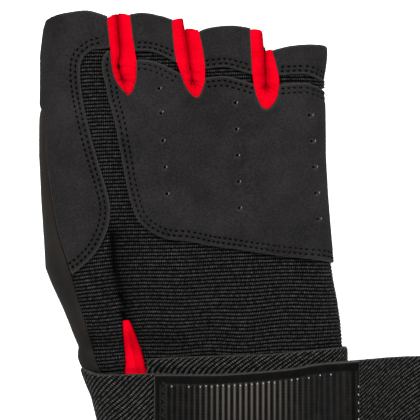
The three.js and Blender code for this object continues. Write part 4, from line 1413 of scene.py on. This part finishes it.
# %% Cuff band
TWILL_PITCH = 1.2
TWILL_DEPTH = 0.42
CUFF_CLOTH = 68.5
HALF_ROUND = 2 * ROLL_ARC + CUFF_CLOTH
CUFF_TOP = [
    (-0.125, -0.024), (0.1, -0.004), (0.29, 0.003), (0.412, 0.0145), (0.54, 0.026), (0.66, 0.026),
]
cuff_outline = np.concatenate([
    smooth(CUFF_TOP), corner_point(OUTER_RIGHT, -0.965), corner_point(OUTER_LEFT, -0.965),
    corner_point(OUTER_LEFT, -0.17), at(-0.125, -0.17),
])


def cuff_frames(points):
    """The skin round the cuff, for a distance from its left seam, palm first."""
    s, y = points.T
    on_back = s > HALF_ROUND
    along = np.where(on_back, 2 * HALF_ROUND - s, s)
    beyond = along - ROLL_ARC - CUFF_CLOTH
    c = np.where(beyond > 0, 1 + beyond / ROLL_ARC, (along - ROLL_ARC) / CUFF_CLOTH)
    c = np.where(along < ROLL_ARC, along / ROLL_ARC - 1, c)
    return both_halves(c, np.where(on_back, -1, 1), y)


def twill_height(points):
    """Rounded slanting ribs with narrow valleys, 0 to 1."""
    x, y = points.T
    across = -x * math.sin(TWILL_TURN) + y * math.cos(TWILL_TURN)
    across = across + 0.12 * np.sin(x / 9.0) + 0.1 * np.sin(y / 7.0)
    return np.abs(np.sin(math.pi * across / TWILL_PITCH)) ** 0.7


cuff_band = lay(
    "cuff_band_webbing", ((0.05, CUFF_FOOT - 0.5), (2 * HALF_ROUND - 0.05, 3.2)), (1.5, 0.2),
    lambda points: depth_in(cuff_outline, cuff_frames(points)[0][:, :2]), cuff_frames, CLEARANCE,
    lambda points, value: CLEARANCE + CUFF_WALL + TWILL_DEPTH * (twill_height(points) - 1),
    turn=TWILL_TURN, rib=twill_height,
)
finish_piece(cuff_band, webbing, ["cuff_band"])

# %% [markdown]
# The strap is one length of the same webbing. It is sewn to the back of the cuff, comes
# round the thumb side, crosses the palm, and runs off as a free tail that drops to the
# table. Its cloth is measured along that whole way. The tail comes first, because the hook
# tape reaches onto it too.

# %% The way of the strap
STRAP_INNER = CLEARANCE + CUFF_WALL + CLEARANCE
STRAP_BOTTOM = float(plan_y(-0.985))
STRAP_FIRM = float(plan_y(-0.17))
STRAP_LEAN = 0.37
TAIL_DROP = 42.0
TAIL_FROM = ROLL_ARC + CUFF_CLOTH
TAIL_TWILL = 0.2
STRAP_TOP = smooth([
    (-0.5, -0.04), (-0.349, -0.062), (-0.29, -0.113), (-0.226, -0.126), (-0.1, -0.12),
    (0.097, -0.123), (0.237, -0.11), (0.377, -0.086), (0.472, -0.054), (0.613, -0.036),
    (0.85, -0.028), (1.3, -0.03),
])


def strap_top(x):
    """The strap's upper edge."""
    return np.interp(x, STRAP_TOP[:, 0], STRAP_TOP[:, 1])


def drop(value, start):
    """1 before the tail's drop, 0 after it, without a kink at either end."""
    t = np.clip((value - start) / TAIL_DROP, 0, 1)
    return 1 - t * t * t * (t * (6 * t - 15) + 10)


def tail_start(y):
    return side(2, y) - SIDE_ROLL


def tail_frames(x, y):
    """The free tail, which drops from the palm's edge to the table."""
    start, step = tail_start(y), 0.05
    first = skin(1, np.ones_like(y), y)[:, 2] + STRAP_INNER
    slope = first * (drop(x + step, start) - drop(x - step, start)) / (2 * step)
    normal = unit(np.stack([-slope, np.zeros_like(slope), np.ones_like(slope)], axis=-1))
    return np.stack([x, y, first * drop(x, start)], axis=-1) - normal * STRAP_INNER, normal


tail_run = np.linspace(0, TAIL_END - tail_start(-25.0), 400)
tail_arc = arc_lengths(np.column_stack([tail_run, 22.0 * drop(tail_run, 0)]))
STRAP_LENGTH = TAIL_FROM + tail_arc[-1]
print(f"strap: {STRAP_LENGTH + ROLL_ARC + 0.9 * CUFF_CLOTH:.0f} mm of webbing")

# %% [markdown]
# Near the thumb the strap is held by the cuff's edge, so below it the webbing runs straight
# on and leans a little, instead of following the hand. On the free tail, which nothing
# stretches, the ribs of the twill stand a little further apart.

# %% Wrist strap
def strap_frames(points):
    s, y = points.T
    half, c = wrap_place(s, CUFF_CLOTH)
    firm = np.where(c < 0.3, np.minimum(y, STRAP_FIRM), y)
    worn, normal = both_halves(np.minimum(c, 1), half, firm)
    leans = STRAP_LEAN * ease(c, 0.3, 0.0)
    straight = np.stack([-leans, np.ones_like(leans), np.zeros_like(leans)], axis=1)
    worn = worn + (y - firm)[:, None] * straight
    start = tail_start(y)
    x = start + np.interp(s - TAIL_FROM, tail_arc, tail_run) * (TAIL_END - start) / tail_run[-1]
    return choose(s > TAIL_FROM, tail_frames(x, y), (worn, normal))


def strap_depth(points):
    s, y = points.T
    place, _ = strap_frames(points)
    value = np.minimum(strap_top(place[:, 0]) - y, y - STRAP_BOTTOM)
    return np.minimum(value, np.minimum(s + ROLL_ARC + 0.9 * CUFF_CLOTH, STRAP_LENGTH - s))


def strap_twill(points):
    s, y = points.T
    return twill_height(np.column_stack([s - TAIL_TWILL * np.maximum(s - TAIL_FROM, 0), y]))


def strap_high(points, value):
    selvedge = np.clip((1.6 - value) / 0.8, 0, 1)
    twill = TWILL_DEPTH * (strap_twill(points) - 1)
    return STRAP_INNER + STRAP_WALL + twill * (1 - 0.7 * selvedge)


wrist_strap = lay(
    "wrist_strap_webbing", ((-ROLL_ARC - 0.9 * CUFF_CLOTH, STRAP_BOTTOM), (STRAP_LENGTH, 0.0)),
    (1.6, 0.2), strap_depth, strap_frames, STRAP_INNER, strap_high, turn=TWILL_TURN,
    rib=strap_twill,
)
finish_piece(wrist_strap, webbing, ["wrist_strap"])

# %% [markdown]
# The hook tape is one moulded strip: a flat border, then upright ribs, each with a row of
# small hooks on top. The rib tops are scalloped where the hooks stand. Towards the right
# use has flattened them. The ribs in the middle are painted paler, a painted highlight where
# the lamps would reflect, most of all near the upper edge.

# %% Hook patch
PATCH_FROM, PATCH_TO = -0.096 * PALM_WIDTH, 0.606 * PALM_WIDTH
PATCH_BORDER = 3.4
PATCH_INNER = STRAP_INNER + STRAP_WALL + CLEARANCE
PATCH_TOP = PATCH_INNER + PATCH_WALL
HOOK_PITCH = 2.1
HOOK_STEP = 1.25
HOOK_HEIGHT = 0.8
HOOK_SLANT = 0.6


def patch_frames(points):
    x, y = points.T
    start, end = side(1, y) + SIDE_ROLL, tail_start(y)
    worn = skin_frame(1, np.clip((x - start) / (end - start), 0, 1), y)
    return choose(x >= end, tail_frames(x, y), worn)


def patch_depth(points):
    x, y = points.T
    value = np.minimum(strap_top(x) - CLEARANCE - y, y - STRAP_BOTTOM - CLEARANCE)
    return np.minimum(value, np.minimum(x - PATCH_FROM, PATCH_TO - x))


def hook_rib(points):
    """0 between two ribs of the hook tape, 1 on top of a rib."""
    return np.abs(np.sin(math.pi * (points[:, 0] - PATCH_FROM - PATCH_BORDER) / HOOK_PITCH)) ** 0.9


def hook_rows(points):
    """0 between two hooks of a rib, 1 on a hook; the rows slant from rib to rib."""
    return np.abs(np.sin(math.pi * (points[:, 1] + HOOK_SLANT * points[:, 0]) / HOOK_STEP))


def hook_painted_highlight(points):
    """How pale a place is: a painted highlight on the rib tops and hook rows."""
    x, y = points.T
    across = ease(x, 0.0, 0.17 * PALM_WIDTH) * ease(x, 0.46 * PALM_WIDTH, 0.27 * PALM_WIDTH)
    below = strap_top(x) - y - PATCH_BORDER
    tips = 1 - (1 - across) * (1 - hook_rows(points))
    on_rib = ease(hook_rib(points), 0.7, 1.0) * (0.15 + 0.85 * across) * tips
    return on_rib * ease(below, 0, 1.2) * (1 - 0.6 * ease(below, 2, 26))


def patch_high(points, value):
    fading = ease(points[:, 0], 0.3 * PALM_WIDTH, 0.45 * PALM_WIDTH)
    rib = hook_rib(points) * (1 - 0.45 * fading)
    scallop = 1 - (0.12 + 0.45 * fading) * (1 - hook_rows(points) ** 0.7)
    inside_border = ease(value, PATCH_BORDER - 0.3, PATCH_BORDER + 1.0)
    faint = 0.12 * rib * np.clip(value / 1.5, 0, 1)
    return PATCH_TOP + HOOK_HEIGHT * rib * scallop * inside_border + faint * (1 - inside_border)


hook_patch = lay(
    "hook_patch_plastic", ((PATCH_FROM, STRAP_BOTTOM), (PATCH_TO, 0.0)), (0.3, 0.42), patch_depth,
    patch_frames, PATCH_INNER, patch_high, round_edge=0.6, rib=hook_painted_highlight,
)
finish_piece(hook_patch, hook_plastic, ["hook_patch"])

# %% [markdown]


# %% [markdown]
# Then the seams are sewn. Each row of stitches lies in the groove that was pressed for it.
# Stitches that would fall outside their piece, or on a gusset, are left out. Each
# perforation gets one pale speck at its side, a painted highlight where light catches the
# hole's edge.

# %% Sew the seams
# Painted highlight: one pale speck beside each perforation.
GLINT_OFFSET = (0.82, 0.1)
glint_places = hole_places + GLINT_OFFSET


def seam_rows(seams, rows, inward):
    return [beside(seam, inward * row) for seam in seams for row in rows]


def loose_stitches(name, places, runs, material, slot, *how):
    """Single stitches; how is their height, surface, length and width."""
    runs = np.broadcast_to(runs, places.shape)
    return finish_piece(to_object(name, *stitch_points(places, runs, *how)), material)


sew("index_panel_stitches", seam_rows([index_seam], SEAM_ROWS, -1), index_outline, LEATHER_WALL)
sew("palm_pad_stitches",
    seam_rows([left_seam], SEAM_ROWS, 1) + seam_rows(arch_seams, SEAM_ROWS, -1),
    pad_outline, PAD_WALL)
for finger, outline in front_outlines.items():
    sew(f"{finger}_front_stitches", seam_rows([unroll(upper_flex[finger])], FRONT_ROWS, 1),
        outline, LEATHER_WALL)
# Pale specks beside the perforations: painted highlights.
loose_stitches(
    "perforation_painted_glints", glint_places, (0.07, 0.2),
    suede_finish("painted_glint", (0.07, 0.068, 0.066), (0.12, 0.118, 0.115), (0.12, 0.118, 0.115)),
    "suede", CLEARANCE + PAD_WALL * thinning(glint_places) + 0.1, palm_frames, 1.0, 0.4,
)

# %% [markdown]
# The hook tape is sewn to the strap down both ends: at its left with a zigzag of dusty
# thread, at its right with clear nylon, painted pale so that it shows as a column of bright
# points, a painted highlight. The same painted highlight is put on the tips of the first
# hooks as small pale beads, where the lamps would catch them. Some are missing, more of
# them at the sides.

# %% Sew the hook tape
PATCH_SEAM_STEP = 3.1
ZIGZAG_X, NYLON_X = -6.6, 64.2
column_y = np.arange(STRAP_BOTTOM + 3, float(plan_y(-0.17)), PATCH_SEAM_STEP)


def column(x, shift=0.0):
    return np.column_stack([np.full(len(column_y), x), column_y + shift])


zigzag = np.concatenate([column(ZIGZAG_X), column(ZIGZAG_X, PATCH_SEAM_STEP / 2)])
zigzag_runs = np.repeat([(0.12, 0.16), (-0.12, 0.16)], len(column_y), axis=0)
dusty_thread = thread_finish("dusty_thread", 0.008, (0.02, 0.0195, 0.019))
loose_stitches("patch_zigzag_stitches", zigzag, zigzag_runs, dusty_thread, "hook_plastic",
               PATCH_TOP + 0.1, patch_frames, 2.2, 0.8)
# Pale colour for painted highlights: on the nylon stitches and on the hook tips.
nylon = Finish("pale_nylon_painted_highlight", 0.25).plain(Base_Color=(0.2, 0.19, 0.18, 1))
loose_stitches("patch_nylon_stitches", column(NYLON_X), (0.02, 0.2), nylon, "hook_plastic",
               PATCH_TOP + 0.1, patch_frames, 0.85, 0.5)

hook_rng = np.random.default_rng(12)
tip_x = np.arange(PATCH_FROM + PATCH_BORDER + 1.5 * HOOK_PITCH, PATCH_TO - PATCH_BORDER, HOOK_PITCH)
tip_y = strap_top(tip_x) - PATCH_BORDER - 1.0 + hook_rng.uniform(-0.25, 0.25, len(tip_x))
missing = (0.08 + 0.3 * ease(tip_x, 0.08 * PALM_WIDTH, 0.0)
           + 0.7 * ease(tip_x, 0.25 * PALM_WIDTH, 0.4 * PALM_WIDTH))
tips = np.column_stack([tip_x, tip_y])[hook_rng.random(len(tip_x)) > missing]
# Small pale beads on the hook tips: painted highlights.
loose_stitches("hook_tip_painted_glints", tips, (0.0, 0.2), nylon, "hook_plastic",
               PATCH_TOP + HOOK_HEIGHT - 0.1, patch_frames, 0.7, 0.6)

# %% [markdown]
# The camera looks straight down, as the photograph does, from 0.9 m. Three large soft lamps
# and a weak white sky light the glove from all sides, and one small lamp beside the camera
# shows on the hook tape, where the ribs lie flat. The table is pale and glows a little, so
# that it is white in the picture.

# %% Camera, light and table
EYE_HEIGHT = 0.9
SUBJECT_HEIGHT = 0.02
VIEW_WIDTH = 0.1577
VIEW_CENTRE = ((10.3 + SHIFT_X) * MM, (54.4 + SHIFT_Y) * MM)
TABLE_REACH = 3.0
eye = bpy.data.cameras.new("eye")
eye.sensor_width = 36
eye.lens = eye.sensor_width * EYE_HEIGHT / VIEW_WIDTH
camera = add_object("camera", eye)
camera.location = (*VIEW_CENTRE, EYE_HEIGHT + SUBJECT_HEIGHT)
bpy.context.scene.camera = camera


def lamp(name, size, power, place, aim=(0, 0, 0.01)):
    light = bpy.data.lights.new(name, "AREA")
    light.shape = "RECTANGLE"
    light.size, light.size_y = size
    light.energy = power
    made = add_object(name, light)
    made.location = place
    made.rotation_euler = (Vector(aim) - Vector(place)).to_track_quat("-Z", "Y").to_euler()


lamp("upper_left", (0.7, 0.5), 22, (-0.6, 0.75, 0.95))
lamp("upper_right", (0.6, 0.5), 14, (0.8, 0.5, 0.9))
lamp("lower", (1.0, 0.5), 12, (0.1, -0.95, 0.9))
lamp("above_wrist", (0.16, 0.4), 1.2, (0.0, -0.1, 1.1), (0.0, -0.1, 0))

world = bpy.data.worlds.new("studio")
world.use_nodes = True
world.node_tree.nodes["Background"].inputs["Color"].default_value = (1, 1, 1, 1)
world.node_tree.nodes["Background"].inputs["Strength"].default_value = 0.2
bpy.context.scene.world = world
bpy.context.scene.view_settings.view_transform = "Standard"

table_mesh = bpy.data.meshes.new("table")
corners = [(x * TABLE_REACH, y * TABLE_REACH, 0) for x, y in ((-1, -1), (1, -1), (1, 1), (-1, 1))]
table_mesh.from_pydata(corners, [], [[0, 1, 2, 3]])
table_mesh.materials.append(Finish("pale_table", 0.7).plain(
    Base_Color=(0.93, 0.93, 0.93, 1), Emission_Color=(1, 1, 1, 1), Emission_Strength=0.5,
))
add_object("table", table_mesh)
